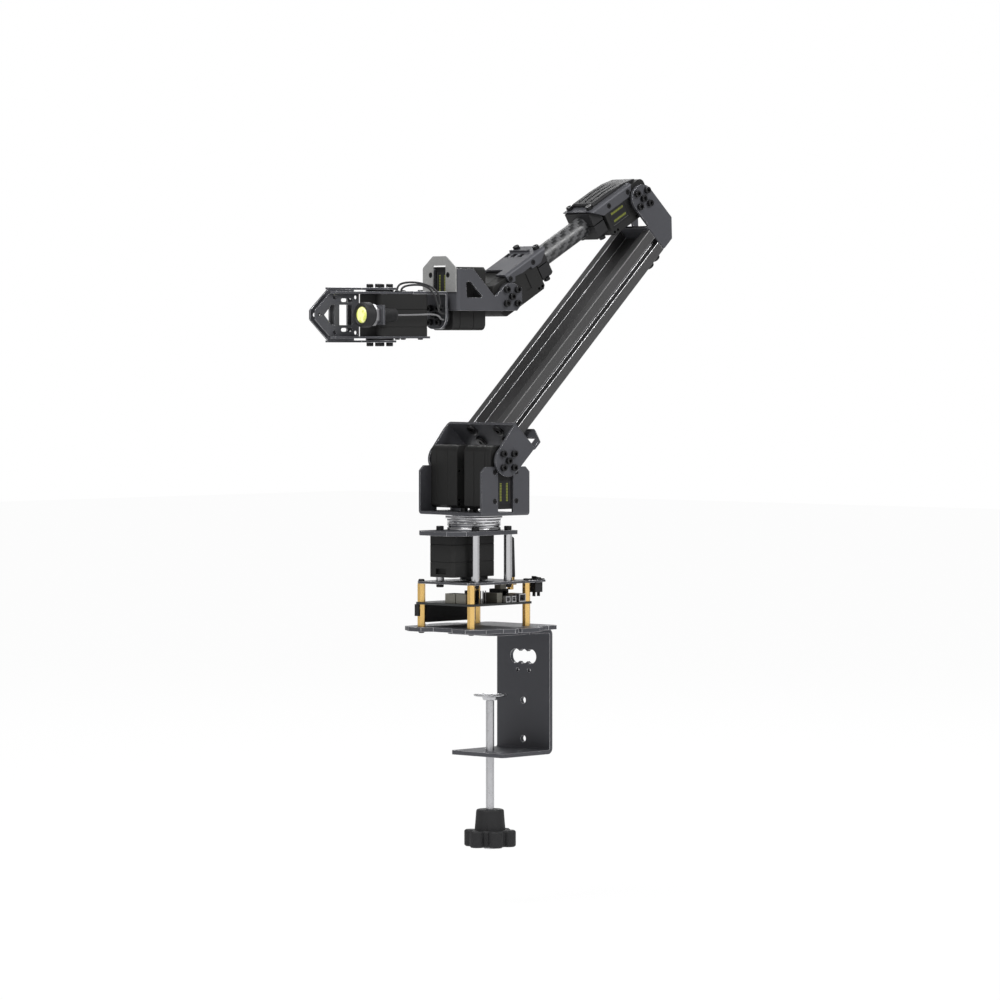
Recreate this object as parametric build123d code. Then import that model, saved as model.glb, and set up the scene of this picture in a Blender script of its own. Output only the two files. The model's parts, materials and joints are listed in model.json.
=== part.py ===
"""Desktop robot arm that clamps to a table edge, with five servo joints and a two-jaw gripper.

Frame: millimetres, +Z up. The origin lies on the table top, which is the underside of the
clamp's upper jaw, on the axis that the base servo turns. +X is forward, over the table, and +Y
is left. The arm is drawn in the pose of its photograph, and each link has a frame of its own.
"""

from build123d import *

import os
from math import cos, pi, radians, sin, tan

# Pose of the drawn arm, in degrees
YAW = -8.0                  # arm plane from +X, about +Z
UPPER_TILT = 44.8           # upper arm, back from vertical
FORE_DROP = 30.2            # forearm, below horizontal

# Arm lengths
UPPER_LEN = 235.7           # shoulder to elbow, along the upper arm
UPPER_OFFSET = 32.0         # elbow shaft in front of the shoulder shaft
FORE_LEN = 144.1            # elbow to wrist
ROLL_DROP = 13.7            # roll axis below the wrist shaft
GRIP_REACH = 104.4          # wrist shaft to gripper shaft

# Clearances
FIT = 0.05                  # running or threaded fit, radial
EASY = 0.2                  # screw through a plate, radial
AIR = 0.3                   # parts that pass one another

# Servo: a case of three shells on a shaft that comes out on both sides
CASE_L, CASE_W, CASE_T = 45.2, 24.7, 29.9
SHAFT_INSET = 10.6          # shaft to the near end of the case
FRONT_SHELL, REAR_SHELL = 6.5, 11.0
CORNER, NEAR_CORNER = 2.0, 4.5
SEAM = 0.3                  # bevel along each seam
HORN_D, HORN_H = 20.0, 2.9
HUB_D, HUB_DEEP = 8.0, 1.6
HORN_SQUARE = 9.9           # screw square on a horn
MOUNT_NEAR, MOUNT_FAR, MOUNT_END, MOUNT_SIDE = 8.0, 28.8, 32.2, 9.9
TAP_2, TAP_DEEP = 2.0, 3.6

# Sheet metal
SHEET = 2.0
THIN = 1.5
BEND = 1.6                  # bend radius at mid thickness

# Fasteners
HEAD_25, HEAD_25_H, SHANK_25 = 4.9, 2.7, 2.5
HEAD_3, HEAD_3_H, SHANK_3 = 5.5, 3.0, 3.0
HEAD_2, SHANK_2 = 4.0, 2.0
SINK = 1.1                  # height of a countersunk head

# Clamp
CLAMP_T, CLAMP_W = 3.0, 52.0
CLAMP_BACK, CLAMP_FRONT, JAW_FRONT = -55.5, 7.0, -2.5
THROAT = 85.0
CLAMP_R = 4.5
SCREW_X = -17.0
SCREW_D = 6.0
PAD_D, PAD_H, PAD_Z = 24.0, 4.0, -44.0
COLLAR_D, COLLAR_H = 22.3, 15.0
STAR_D, STAR_H, STAR_LOBES = 38.0, 12.0, 6
KNOB_TOP = -127.0

# Base stack, bottom to top
PLATE_T = 3.0
STAND_X, STAND_Y, STAND_AF = 29.0, 24.5, 5.2
STAND_LOW, STAND_HIGH = 16.2, 13.4
BOARD_X, BOARD_Y, BOARD_T = 65.0, 56.5, 1.6
DECK_T = 1.6
POST_X, POST_Y, POST_D, POST_L = 17.1, 17.4, 6.0, 33.5
TOP_FRONT, TOP_BACK, TOP_W, TOP_CHAMFER = 42.6, -21.0, 46.6, 10.0

PLATE_Z = CLAMP_T
BOARD_Z = PLATE_Z + PLATE_T + STAND_LOW
DECK_Z = BOARD_Z + BOARD_T + STAND_HIGH
POST_Z = DECK_Z + DECK_T
TOP_Z = POST_Z + POST_L

# Turntable bearing
RACE_D, RACE_WAIST, RACE_BORE = 40.9, 38.5, 25.0
RACE_H, RACE_GAP = 5.3, 0.6
BALL_D, BALL_PITCH, BALLS = 3.0, 31.8, 16

RACE_Z = TOP_Z + PLATE_T
TURRET_Z = RACE_Z + 2 * RACE_H + RACE_GAP

# Shoulder
SERVO_GAP = 8.4             # between the two shoulder servos
SERVO_LIFT = 2.7            # shoulder servos above the bracket's floor
SHOULDER_Z = TURRET_Z + SHEET + SERVO_LIFT + CASE_L - SHAFT_INSET
BRACKET_X, BRACKET_TOP, BRACKET_SLOT = 22.0, SHOULDER_Z - 4.3, 14.0
FORK_BACK, FORK_FRONT = -11.3, 13.2
FORK_WEB = 24.8             # shoulder shaft to the top of the fork's web
FORK_HEAD_D = 9.5
SHOULDER_OUT = SERVO_GAP / 2 + CASE_T + HORN_H

# Upper arm extrusion
EXTRUSION_W, EXTRUSION_T, EXTRUSION_N = 40.0, 20.0, 1.5
CAVITY_W, CAVITY_DEEP = 25.4, 7.6
SLOT_W, SLOT_DEEP = 4.6, 5.5
ELBOW_DROP = 12.2           # elbow shaft above the end of the extrusion
ELBOW_HALF, ELBOW_TAIL = 10.2, 40.4
HORN_OUT = CASE_T / 2 + HORN_H

# Forearm
COVER_TOP = 14.7
TUBE_D, TUBE_BORE, TUBE_LIFT = 15.0, 12.0, 2.9
BLOCK_L, BLOCK_W, BLOCK_BOTTOM, BLOCK_SPLIT = 10.5, 27.0, -8.0, 0.8
BLOCK_START = CASE_L - SHAFT_INSET + 1.7   # shaft to the near face of a tube clamp
FAIRING_W = 24.0

# Wrist
WEB_X = 49.9                # wrist shaft to the front of the bracket
ROLL_PLATE_T = 0.8
WINDOW_W, WINDOW_TOP = 14.4, 21.8
WEB_LOW, WEB_HIGH, WEB_HALF = 2.9, 28.5, 18.9

# Gripper and lamp
JAW_GAP = 2.1               # closing plane to a jaw's face
JAW_ROOT, JAW_TIP = GRIP_REACH + 21.2, GRIP_REACH + 59.5
HAND_PLATE_X = 52.4         # wrist shaft to the rear of the hand plate
LAMP_Y, LAMP_D, LAMP_HEAD_D, LAMP_HEAD_L = 18.0, 9.6, 18.0, 13.0
LENS_D = 11.5
LAMP_TAB_X, LAMP_TAIL = GRIP_REACH + 16.6, GRIP_REACH + 1.1
NUT_AF, NUT_H = 13.4, 4.0
CABLE_D, WIRE_D = 1.5, 1.2

parts = {}


def keep(name, *solids):
    """Store one node as a list of separate solids."""
    found = []
    for item in solids:
        found += item.solids() if hasattr(item, "solids") else [s for i in item for s in i.solids()]
    parts[name] = found


def at(frame, origin, x_dir=(1, 0, 0), z_dir=(0, 0, 1)):
    """Location inside a link's frame with its own x and z directions."""
    return frame * Location(Plane(origin=origin, x_dir=x_dir, z_dir=z_dir))


def drum(diameter, low, high):
    """Cylinder on the z axis from one height to another."""
    return Pos(0, 0, low) * Cylinder(diameter / 2, high - low,
                                     align=(Align.CENTER, Align.CENTER, Align.MIN))


def box_between(low, high):
    """Box between two opposite corners."""
    size = [high[i] - low[i] for i in range(3)]
    return Pos(*low) * Box(*size, align=(Align.MIN, Align.MIN, Align.MIN))


def slab(outline, low, high):
    """Plate cut from a closed outline of corner points."""
    return Pos(0, 0, low) * extrude(make_face(Polyline(*outline, close=True)), amount=high - low)


def bent(points, width, thick, radius=BEND):
    """Sheet bent along a path in the XZ plane, with its width along Y."""
    path = FilletPolyline(*[(x, 0, z) for x, z in points], radius=radius)
    section = Plane(path @ 0, x_dir=(0, 1, 0), z_dir=path % 0) * Rectangle(width, thick)
    return sweep(section, path=path)


def cap_screw(head=HEAD_25, head_h=HEAD_25_H, shank=SHANK_25, length=5.0):
    """Socket head screw: head above z = 0, shank below."""
    body = drum(head, 0, head_h) + drum(shank, -length, 0)
    body = chamfer(body.edges().group_by(Axis.Z)[-1], head_h * 0.12)
    socket = extrude(Pos(0, 0, head_h) * RegularPolygon(head * 0.28, 6), amount=-head_h * 0.6)
    return body - socket


def sunk_screw(head=HEAD_2, shank=SHANK_2, length=3.0):
    """Countersunk screw with its top at z = 0."""
    cone = Pos(0, 0, -SINK / 2) * Cone(shank / 2, head / 2, SINK)
    socket = drum(head * 0.4, -SINK * 0.6, 0)
    return cone + drum(shank, -SINK - length, -SINK) - socket


def sunk_hole(depth, head=HEAD_2, shank=SHANK_2):
    """Space that a countersunk screw takes in a plate and in what is under it."""
    cone = Pos(0, 0, -SINK / 2) * Cone(shank / 2 + FIT, head / 2 + FIT, SINK)
    return cone + drum(shank + 2 * FIT, -depth, -SINK)


def pan_screw(head, head_h, shank, length):
    """Low domed screw head above z = 0, shank below."""
    body = drum(head, 0, head_h) + drum(shank, -length, 0)
    body = fillet(body.edges().group_by(Axis.Z)[-1], head_h * 0.7)
    return body - drum(head * 0.3, head_h * 0.5, head_h)


def square_pattern(side=HORN_SQUARE):
    """Corners of the screw square of a horn."""
    half = side / 2
    return [(x, y) for x in (-half, half) for y in (-half, half)]


def case_outline(inset=0.0):
    """Servo case seen along its shaft: rounded at the shaft end, bevelled at the far end."""
    near, far, half = -SHAFT_INSET + inset, CASE_L - SHAFT_INSET - inset, CASE_W / 2 - inset
    face = make_face(Polyline((near, -half), (far, -half), (far, half), (near, half), close=True))
    ends = face.vertices().group_by(Axis.X)
    face = chamfer(ends[-1], CORNER)
    return fillet(face.vertices().group_by(Axis.X)[0], NEAR_CORNER)


def mount_points(*columns):
    """Screw places on either face of a servo."""
    return [(x, y) for x in columns or (MOUNT_NEAR, MOUNT_FAR) for y in (-MOUNT_SIDE, MOUNT_SIDE)]


def servo():
    """Servo case on a shaft along z: front shell, middle and rear shell."""
    top, low = CASE_T / 2, -CASE_T / 2
    levels = [low, low + REAR_SHELL, top - FRONT_SHELL, top]
    shells = []
    for bottom, ceiling in zip(levels, levels[1:]):
        shell = Pos(0, 0, bottom) * extrude(case_outline(), amount=ceiling - bottom)
        rims = shell.edges().group_by(Axis.Z)
        shells.append(chamfer(rims[0] + rims[-1], SEAM))
    for side, index in ((1, 2), (-1, 0)):
        face = side * CASE_T / 2
        bore = drum(HUB_D + 2 * FIT, min(face, face - side * (HUB_DEEP + AIR)),
                    max(face, face - side * (HUB_DEEP + AIR)))
        taps = [Pos(x, y, face - side * TAP_DEEP / 2) * Cylinder(TAP_2 / 2 + FIT, TAP_DEEP)
                for x, y in mount_points(MOUNT_NEAR, MOUNT_FAR, MOUNT_END)]
        shells[index] = shells[index] - bore - taps
    panel = box_between((18.0, -6.0, low - 1), (23.0, 6.0, low + 0.6))
    label = box_between((14.0, -7.0, top - 0.3), (31.4, 7.0, top + 1))
    shells[0] = shells[0] - panel
    shells[2] = shells[2] - label
    plug = box_between((CASE_L - SHAFT_INSET - 2.2, -5.0, low + 2.2),
                       (CASE_L - SHAFT_INSET + 1, 5.0, low + 6.2))
    shells[0] = shells[0] - plug
    return shells


def horn(side):
    """Round servo horn with its hub in the case, on the front (1) or rear (-1) of a servo."""
    face = CASE_T / 2
    disc = drum(HORN_D, face + AIR, face + HORN_H) + drum(HUB_D, face - HUB_DEEP, face + AIR)
    disc = chamfer(disc.edges().group_by(Axis.Z)[-1], 0.4)
    holes = [Pos(x, y, face + HORN_H / 2) * Cylinder(SHANK_25 / 2 + FIT, 2 * HORN_H) for x,
             y in square_pattern()]
    disc = disc - holes - drum(SHANK_25 + 2 * FIT, face - HUB_DEEP, face + HORN_H)
    return disc if side > 0 else Rot(180, 0, 0) * disc


def horn_screws(side, plate, centre=True):
    """Cap screws that hold a plate on a horn."""
    face = CASE_T / 2 + HORN_H + plate
    reach = plate + HORN_H - AIR - 0.2
    places = square_pattern() + ([(0, 0)] if centre else [])
    screws = [Pos(x, y, face) * cap_screw(length=reach) for x, y in places]
    return [s if side > 0 else Rot(180, 0, 0) * s for s in screws]


# Link frames
TURN = Rot(0, 0, YAW)
UPPER = TURN * Pos(0, 0, SHOULDER_Z) * Rot(0, -UPPER_TILT, 0)
FORE = UPPER * Pos(UPPER_OFFSET, 0, UPPER_LEN) * Rot(0, UPPER_TILT + FORE_DROP, 0)
HAND = FORE * Pos(FORE_LEN, 0, 0) * Rot(0, -FORE_DROP, 0)
LEFT = dict(x_dir=(1, 0, 0), z_dir=(0, 1, 0))
RIGHT = dict(x_dir=(1, 0, 0), z_dir=(0, -1, 0))

BASE_SERVO = Pos(0, 0, TOP_Z - CASE_T / 2)
SHOULDER_SIDE = SERVO_GAP / 2 + CASE_T / 2
SHOULDER_SERVOS = {
    side: at(TURN, (0, side * SHOULDER_SIDE, SHOULDER_Z), x_dir=(0, 0, -1), z_dir=(0, side, 0))
    for side in (1, -1)
}
ELBOW_SERVO = at(FORE, (0, 0, 0), x_dir=(1, 0, 0), z_dir=(0, 1, 0))
WRIST_SERVO = at(FORE, (FORE_LEN, 0, 0), x_dir=(-1, 0, 0), z_dir=(0, -1, 0))
ROLL_X = WEB_X - SHEET - CASE_T / 2
ROLL_SERVO = at(HAND, (ROLL_X, 0, -ROLL_DROP), x_dir=(0, 0, 1), z_dir=(1, 0, 0))
GRIP_SERVO = at(HAND, (GRIP_REACH, 0, -ROLL_DROP), x_dir=(-1, 0, 0), z_dir=(0, 0, -1))


def table_clamp():
    """Bent steel clamp, its threaded insert, and the screw with its pad and star knob."""
    mid = CLAMP_T / 2
    bracket = bent([(CLAMP_FRONT, mid), (CLAMP_BACK + mid, mid), (CLAMP_BACK + mid, -THROAT - mid),
                    (JAW_FRONT, -THROAT - mid)], CLAMP_W, CLAMP_T, CLAMP_R - mid)
    ends = [e for e in bracket.edges().filter_by(Axis.Z) if e.center().X > JAW_FRONT - 1]
    bracket = fillet([e for e in ends if e.center().Z > -10], 12.0)
    ends = [e for e in bracket.edges().filter_by(Axis.Z) if abs(e.center().X - JAW_FRONT) < 1]
    bracket = fillet(ends, 3.5)
    wall = dict(x_dir=(0, 1, 0), z_dir=(1, 0, 0))
    cuts = [at(Pos(), (CLAMP_BACK + mid, y, -18.0), **wall) * Cylinder(5.2, 3 * CLAMP_T)
            for y in (-7.5, 0, 7.5)]
    cuts += [at(Pos(), (CLAMP_BACK + mid, y, -28.0), **wall) * Cylinder(1.5, 3 * CLAMP_T)
             for y in (-5.6, 5.6)]
    cuts += [at(Pos(), (CLAMP_BACK + mid, 0, z), **wall) * Cylinder(2.5, 3 * CLAMP_T)
             for z in (-50.0, -78.0)]
    cuts += [Pos(SCREW_X + x, y, -THROAT - mid) * Cylinder(1.7, 2 * CLAMP_T) for x in (-14, 8)
             for y in (-16, 16)]
    cuts += [Pos(SCREW_X, 0, -THROAT - mid) * Cylinder(SCREW_D / 2 + FIT, 2 * CLAMP_T)]
    cuts += [Pos(x, y, mid) * Cylinder(SHANK_3 / 2 + FIT, 2 * CLAMP_T) for x, y in clamp_bolt_places()]
    cuts += [Pos(-STAND_X, y, mid) * Cylinder(2.8, 2 * CLAMP_T) for y in (-STAND_Y, STAND_Y)]
    keep("clamp_bracket", bracket - cuts)

    neck = 4.6
    pad = revolve(make_face(Polyline(
        (neck / 2 + AIR, PAD_Z - PAD_H), (5.0, PAD_Z - PAD_H), (6.0, PAD_Z - 1.6),
                                     (PAD_D / 2 - 0.6, PAD_Z - 1.2),
        (PAD_D / 2, PAD_Z - 0.3), (PAD_D / 2 - 0.5, PAD_Z), (7.0, PAD_Z - 0.9), (0, PAD_Z - 0.9),
        (0, PAD_Z - 1.9), (neck / 2 + AIR, PAD_Z - 1.9), close=True).rotate(Axis.X, 90)), Axis.Z)
    keep("clamp_pad", Pos(SCREW_X, 0, 0) * pad)

    knob_low = KNOB_TOP - COLLAR_H - STAR_H
    screw = drum(neck, PAD_Z - PAD_H - 0.5, PAD_Z - 1.9 - FIT) + drum(SCREW_D, knob_low - 1.6,
                                                                      PAD_Z - PAD_H - 0.5)
    screw = screw + drum(9.0, knob_low - 1.6, knob_low - FIT)
    screw = chamfer(screw.edges().group_by(Axis.Z)[0], 0.5)
    keep("clamp_screw", Pos(SCREW_X, 0, 0) * screw)

    collar = Pos(0, 0, KNOB_TOP - COLLAR_H) * Cone(COLLAR_D / 2, COLLAR_D / 2 - 1.2, COLLAR_H,
                                                  align=(Align.CENTER, Align.CENTER, Align.MIN))
    collar = fillet(collar.edges().group_by(Axis.Z)[-1], 1.5)
    lobe_ring = STAR_D / 2 - 5.5
    star = Circle(lobe_ring)
    for place in PolarLocations(lobe_ring, STAR_LOBES):
        star = star + place * Circle(5.5)
    for place in PolarLocations(STAR_D / 2 + 1.2, STAR_LOBES, start_angle=180 / STAR_LOBES):
        star = star - place * Circle(4.6)
    star = Pos(0, 0, knob_low) * extrude(star, amount=STAR_H)
    rims = star.edges().group_by(Axis.Z)
    star = chamfer(rims[0] + rims[-1], 1.0)
    flutes = [place * drum(3.0, KNOB_TOP - COLLAR_H, KNOB_TOP - 3.0) for place in
              PolarLocations(COLLAR_D / 2 + 0.8, STAR_LOBES, start_angle=180 / STAR_LOBES)]
    knob = collar - flutes + star - drum(SCREW_D + 2 * FIT, knob_low - 1, KNOB_TOP + 1)
    keep("clamp_knob", Pos(SCREW_X, 0, 0) * knob)


def clamp_bolt_places():
    """Screws that hold the base plate on the clamp."""
    return [(x, y) for x in (-44.0, -4.0) for y in (-17.0, 17.0)]


def base_plate():
    """Faceted base plate with a notched front and side reliefs."""
    half = [(33.0, 9.0), (39.0, 15.5), (39.0, 28.0), (30.0, 40.0), (12.0, 40.0), (6.0, 46.0), (2.6, 46.0),
            (2.6, 43.0), (-1.0, 43.0), (-1.0, 46.0), (-20.0, 46.0), (-24.0, 42.0), (-27.0, 42.0),
            (-27.0, 39.0),
            (-31.0, 35.0), (-50.0, 35.0), (-53.0, 32.0)]
    outline = half + [(x, -y) for x, y in reversed(half)]
    plate = slab(outline, PLATE_Z, PLATE_Z + PLATE_T)
    top = PLATE_Z + PLATE_T
    cuts = [Pos(x, y, top) * sunk_hole(2 * PLATE_T, HEAD_3, SHANK_3) for x, y in clamp_bolt_places()]
    cuts += [Pos(x, y, top - PLATE_T / 2) * Cylinder(SHANK_25 / 2 + FIT, 2 * PLATE_T) for x,
             y in stand_places()]
    cuts += [Pos(x, y, top - PLATE_T / 2) * Cylinder(1.7, 2 * PLATE_T) for x in (-40.0, 12.0)
             for y in (-36.0, 36.0)]
    keep("base_plate", plate - cuts)


def stand_places():
    """Corners of the board where the standoffs stand."""
    return [(x, y) for x in (-STAND_X, STAND_X) for y in (-STAND_Y, STAND_Y)]


def post_places():
    """Corners where the polished posts stand."""
    return [(x, y) for x in (-POST_X, POST_X) for y in (-POST_Y, POST_Y)]


SWITCH_X, SWITCH_Y, SWITCH_L, SWITCH_W = -43.0, 21.4, 7.6, 5.4
ANTENNA_X, ANTENNA_Y = -30.0, 8.0


def driver_stack():
    """Standoffs, driver board with its connectors, and the deck plate over it."""
    stands = []
    for x, y in stand_places():
        for low, high in ((PLATE_Z + PLATE_T, BOARD_Z), (BOARD_Z + BOARD_T, DECK_Z)):
            hexagon = extrude(Pos(x, y, low) * RegularPolygon(STAND_AF / 2, 6, major_radius=False,
                                                              rotation=30), amount=high - low)
            stands.append(hexagon - Pos(x, y, 0) * drum(SHANK_25 + 2 * FIT, low, high))
    keep("standoffs", stands)

    board = extrude(RectangleRounded(BOARD_X, BOARD_Y, 3.0), amount=BOARD_T)
    holes = [Pos(x, y, 0) * Cylinder(SHANK_25 / 2 + EASY, 4 * BOARD_T) for x, y in stand_places()]
    keep("driver_board", Pos(0, 0, BOARD_Z) * (board - holes))

    top, low = BOARD_Z + BOARD_T, BOARD_Z
    header = box_between((-25.5, -27.0, low - 13.1), (25.5, -22.0, low))
    sockets = [Pos(x, y, low - 13.1) * Box(0.9, 0.9, 2.0) for y in (-25.8, -23.2)
               for x in [(i - 9.5) * 2.54 for i in range(20)]]
    jack = box_between((-22.0, 3.0, top), (-13.0, 13.5, top + 9.0)) - at(Pos(), (-17.5, 13.5, top + 5.2),
                                                                         **LEFT) * Cylinder(2.6, 8)
    corner = box_between((31.8, -28.0, low - 8.5), (32.5, -24.0, low))
    rows = [box_between((x, 2.0, top), (x + 2.5, 9.0, top + 8.5)) for x in (4.5, 9.5)]
    chip = box_between((2.0, -14.0, top), (14.0, -2.0, top + 1.2))
    keep("board_black_parts", header - sockets, jack, corner, rows, chip)

    cans = [box_between((20.5, -0.2, top), (30.0, 9.6, top + 7.0)),
            box_between((20.5, 10.4, top), (30.0, 20.0, top + 7.0)),
            box_between((-3.6, 10.0, top), (2.0, 24.5, top + 7.0))]
    module = box_between((-12.0, 14.5, DECK_Z - 4.0), (-6.0, 20.5, DECK_Z))
    keep("board_modules", cans, module)
    ports = [box_between((-24.5, 15.0, top), (-17.5, 28.2, top + 6.0))
             - box_between((-23.7, 20.0, top + 0.9), (-18.3, 29.0, top + 5.1))]
    for x in (-15.0, -9.0):
        ports.append(box_between((x, 20.5, top), (x + 4.8, 27.6, top + 4.6))
                     - box_between((x + 0.8, 24.0, top + 0.9), (x + 4.0, 28.0, top + 3.8)))
    pins = [Pos(x, 16.0, top) * Box(0.7, 0.7, 8.6, align=(Align.CENTER, Align.CENTER, Align.MIN))
            for x in (5.0, 7.54, 10.08)]
    keep("board_ports", ports, pins)

    deck = [(32.5, -24.0), (32.5, 24.0), (29.0, 28.2), (-34.0, 28.2), (-38.0, 26.0), (-48.0, 26.0),
            (-50.5, 23.5),
            (-50.5, 17.0), (-38.0, 12.0), (-35.0, 8.0), (-35.0, 2.0), (-32.5, -2.0), (-32.5, -24.0),
            (-29.0, -28.2),
            (29.0, -28.2)]
    plate = slab(deck, DECK_Z, DECK_Z + DECK_T)
    mid = DECK_Z + DECK_T / 2
    cuts = [Pos(x, y, mid) * Cylinder(SHANK_25 / 2 + EASY, 2 * DECK_T) for x, y in stand_places()]
    cuts += [Pos(x, y, mid) * Cylinder(SHANK_3 / 2 + EASY, 2 * DECK_T) for x, y in post_places()]
    cuts += [Pos(SWITCH_X, SWITCH_Y, mid) * Box(SWITCH_L + 2 * EASY, SWITCH_W + 2 * EASY, 2 * DECK_T)]
    cuts += [Pos(ANTENNA_X, ANTENNA_Y, mid) * Cylinder(3.1 + EASY, 2 * DECK_T)]
    keep("deck_plate", plate - cuts)


def switch_and_antenna():
    """Rocker switch in the deck's ear, and the rod antenna on its threaded socket."""
    top = DECK_Z + DECK_T
    place = Pos(SWITCH_X, SWITCH_Y, 0)
    rim = box_between((-5.0, -3.6, top), (5.0, 3.6, top + 0.9))
    body = box_between((-SWITCH_L / 2, -SWITCH_W / 2, DECK_Z - 7.4), (SWITCH_L / 2, SWITCH_W / 2, top))
    well = box_between((-3.4, -2.3, top - 2.4), (3.4, 2.3, top + 2))
    terminals = [box_between((x - 0.4, -1.2, DECK_Z - 10.4), (x + 0.4, 1.2, DECK_Z - 7.4))
                 for x in (-2.4, 2.4)]
    pivot = Pos(0, 0, top) * Rot(90, 0, 0) * Cylinder(0.6 + FIT, 6.4)
    keep("switch_body", place * (rim + body + terminals - well - pivot))
    rocker = Pos(0, 0, top) * extrude(Plane.XZ * make_face(Polyline(
        (-3.0, 1.6), (0, 1.9), (2.7, 2.7), (2.7, 0.6), (1.0, -1.9), (-1.0, -1.9), (-3.0, 0.2), close=True)),
        amount=2.1, both=True)
    rocker = rocker + Pos(0, 0, top) * Rot(90, 0, 0) * Cylinder(0.6, 5.3)
    keep("switch_rocker", place * rocker)

    stem = Pos(ANTENNA_X, ANTENNA_Y, 0)
    socket = drum(6.2, DECK_Z - 2.0, top + 2.0)
    nut = extrude(Pos(0, 0, DECK_Z - 2.0) * RegularPolygon(4.0, 6, major_radius=False), amount=2.0)
    keep("antenna_socket", stem * (socket + nut + drum(4.6, DECK_Z - 5.5, DECK_Z - 2.0)))
    rod = Pos(0, 0, top + 2.0) * Cone(3.5, 2.75, 29.2, align=(Align.CENTER, Align.CENTER, Align.MIN))
    rod = fillet(rod.edges().group_by(Axis.Z)[-1], 2.0)
    keep("antenna", stem * rod)


def base_tower():
    """Posts, top plate, base servo, lower race and every screw of the base."""
    keep("posts", [Pos(x, y, POST_Z) * (drum(POST_D, 0, POST_L) - drum(SHANK_3 + 2 * FIT, 0, 8)
                                        - drum(SHANK_3 + 2 * FIT, POST_L - 8, POST_L)) for x,
                   y in post_places()])
    half = TOP_W / 2
    outline = [(TOP_FRONT, half - TOP_CHAMFER), (TOP_FRONT - TOP_CHAMFER, half), (TOP_BACK, half)]
    outline = outline + [(x, -y) for x, y in reversed(outline)]
    plate = slab(outline, TOP_Z, TOP_Z + PLATE_T)
    mid = TOP_Z + PLATE_T / 2
    cuts = [Pos(x, y, mid) * Cylinder(SHANK_3 / 2 + EASY, 2 * PLATE_T) for x, y in post_places()]
    cuts += [Pos(0, 0, mid) * Cylinder(HORN_D / 2 + 1.2, 2 * PLATE_T)]
    cuts += [Pos(x, y, TOP_Z + PLATE_T) * sunk_hole(PLATE_T + 1) for x, y in mount_points()]
    keep("top_plate", plate - cuts)
    keep("base_servo", [BASE_SERVO * shell for shell in servo()])

    race = drum(RACE_WAIST, RACE_Z, RACE_Z + RACE_H) - drum(RACE_BORE, RACE_Z, RACE_Z + RACE_H)
    ball_z = RACE_Z + RACE_H + RACE_GAP / 2
    track = Pos(0, 0, ball_z) * Torus(BALL_PITCH / 2, BALL_D / 2 + FIT)
    waist = Pos(0, 0, RACE_Z + RACE_H * 0.5) * Torus(RACE_WAIST / 2 + 0.5, 1.0)
    keep("lower_race", race - track - waist)
    keep("race_balls", [place * Pos(0, 0, ball_z) * Sphere(BALL_D / 2)
                        for place in PolarLocations(BALL_PITCH / 2, BALLS)])

    screws = [Pos(x, y, PLATE_Z + PLATE_T) * sunk_screw(HEAD_3, SHANK_3, 4.4) for x,
              y in clamp_bolt_places()]
    for x, y in stand_places():
        screws.append(Pos(x, y, DECK_Z + DECK_T) * pan_screw(4.6, 1.6, SHANK_25, DECK_T + 6))
        screws.append(Pos(x, y, PLATE_Z) * Rot(180, 0, 0) * pan_screw(4.6, 1.6, SHANK_25, PLATE_T + 6))
    for x, y in post_places():
        screws.append(Pos(x, y, TOP_Z + PLATE_T) * cap_screw(HEAD_3, HEAD_3_H, SHANK_3, PLATE_T + 6))
        screws.append(Pos(x, y, DECK_Z) * Rot(180, 0, 0) * cap_screw(HEAD_3, HEAD_3_H, SHANK_3, DECK_T + 6))
    screws += [Pos(x, y, TOP_Z + PLATE_T) * sunk_screw(length=PLATE_T + 2.3) for x, y in mount_points()]
    keep("base_screws", screws)


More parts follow.
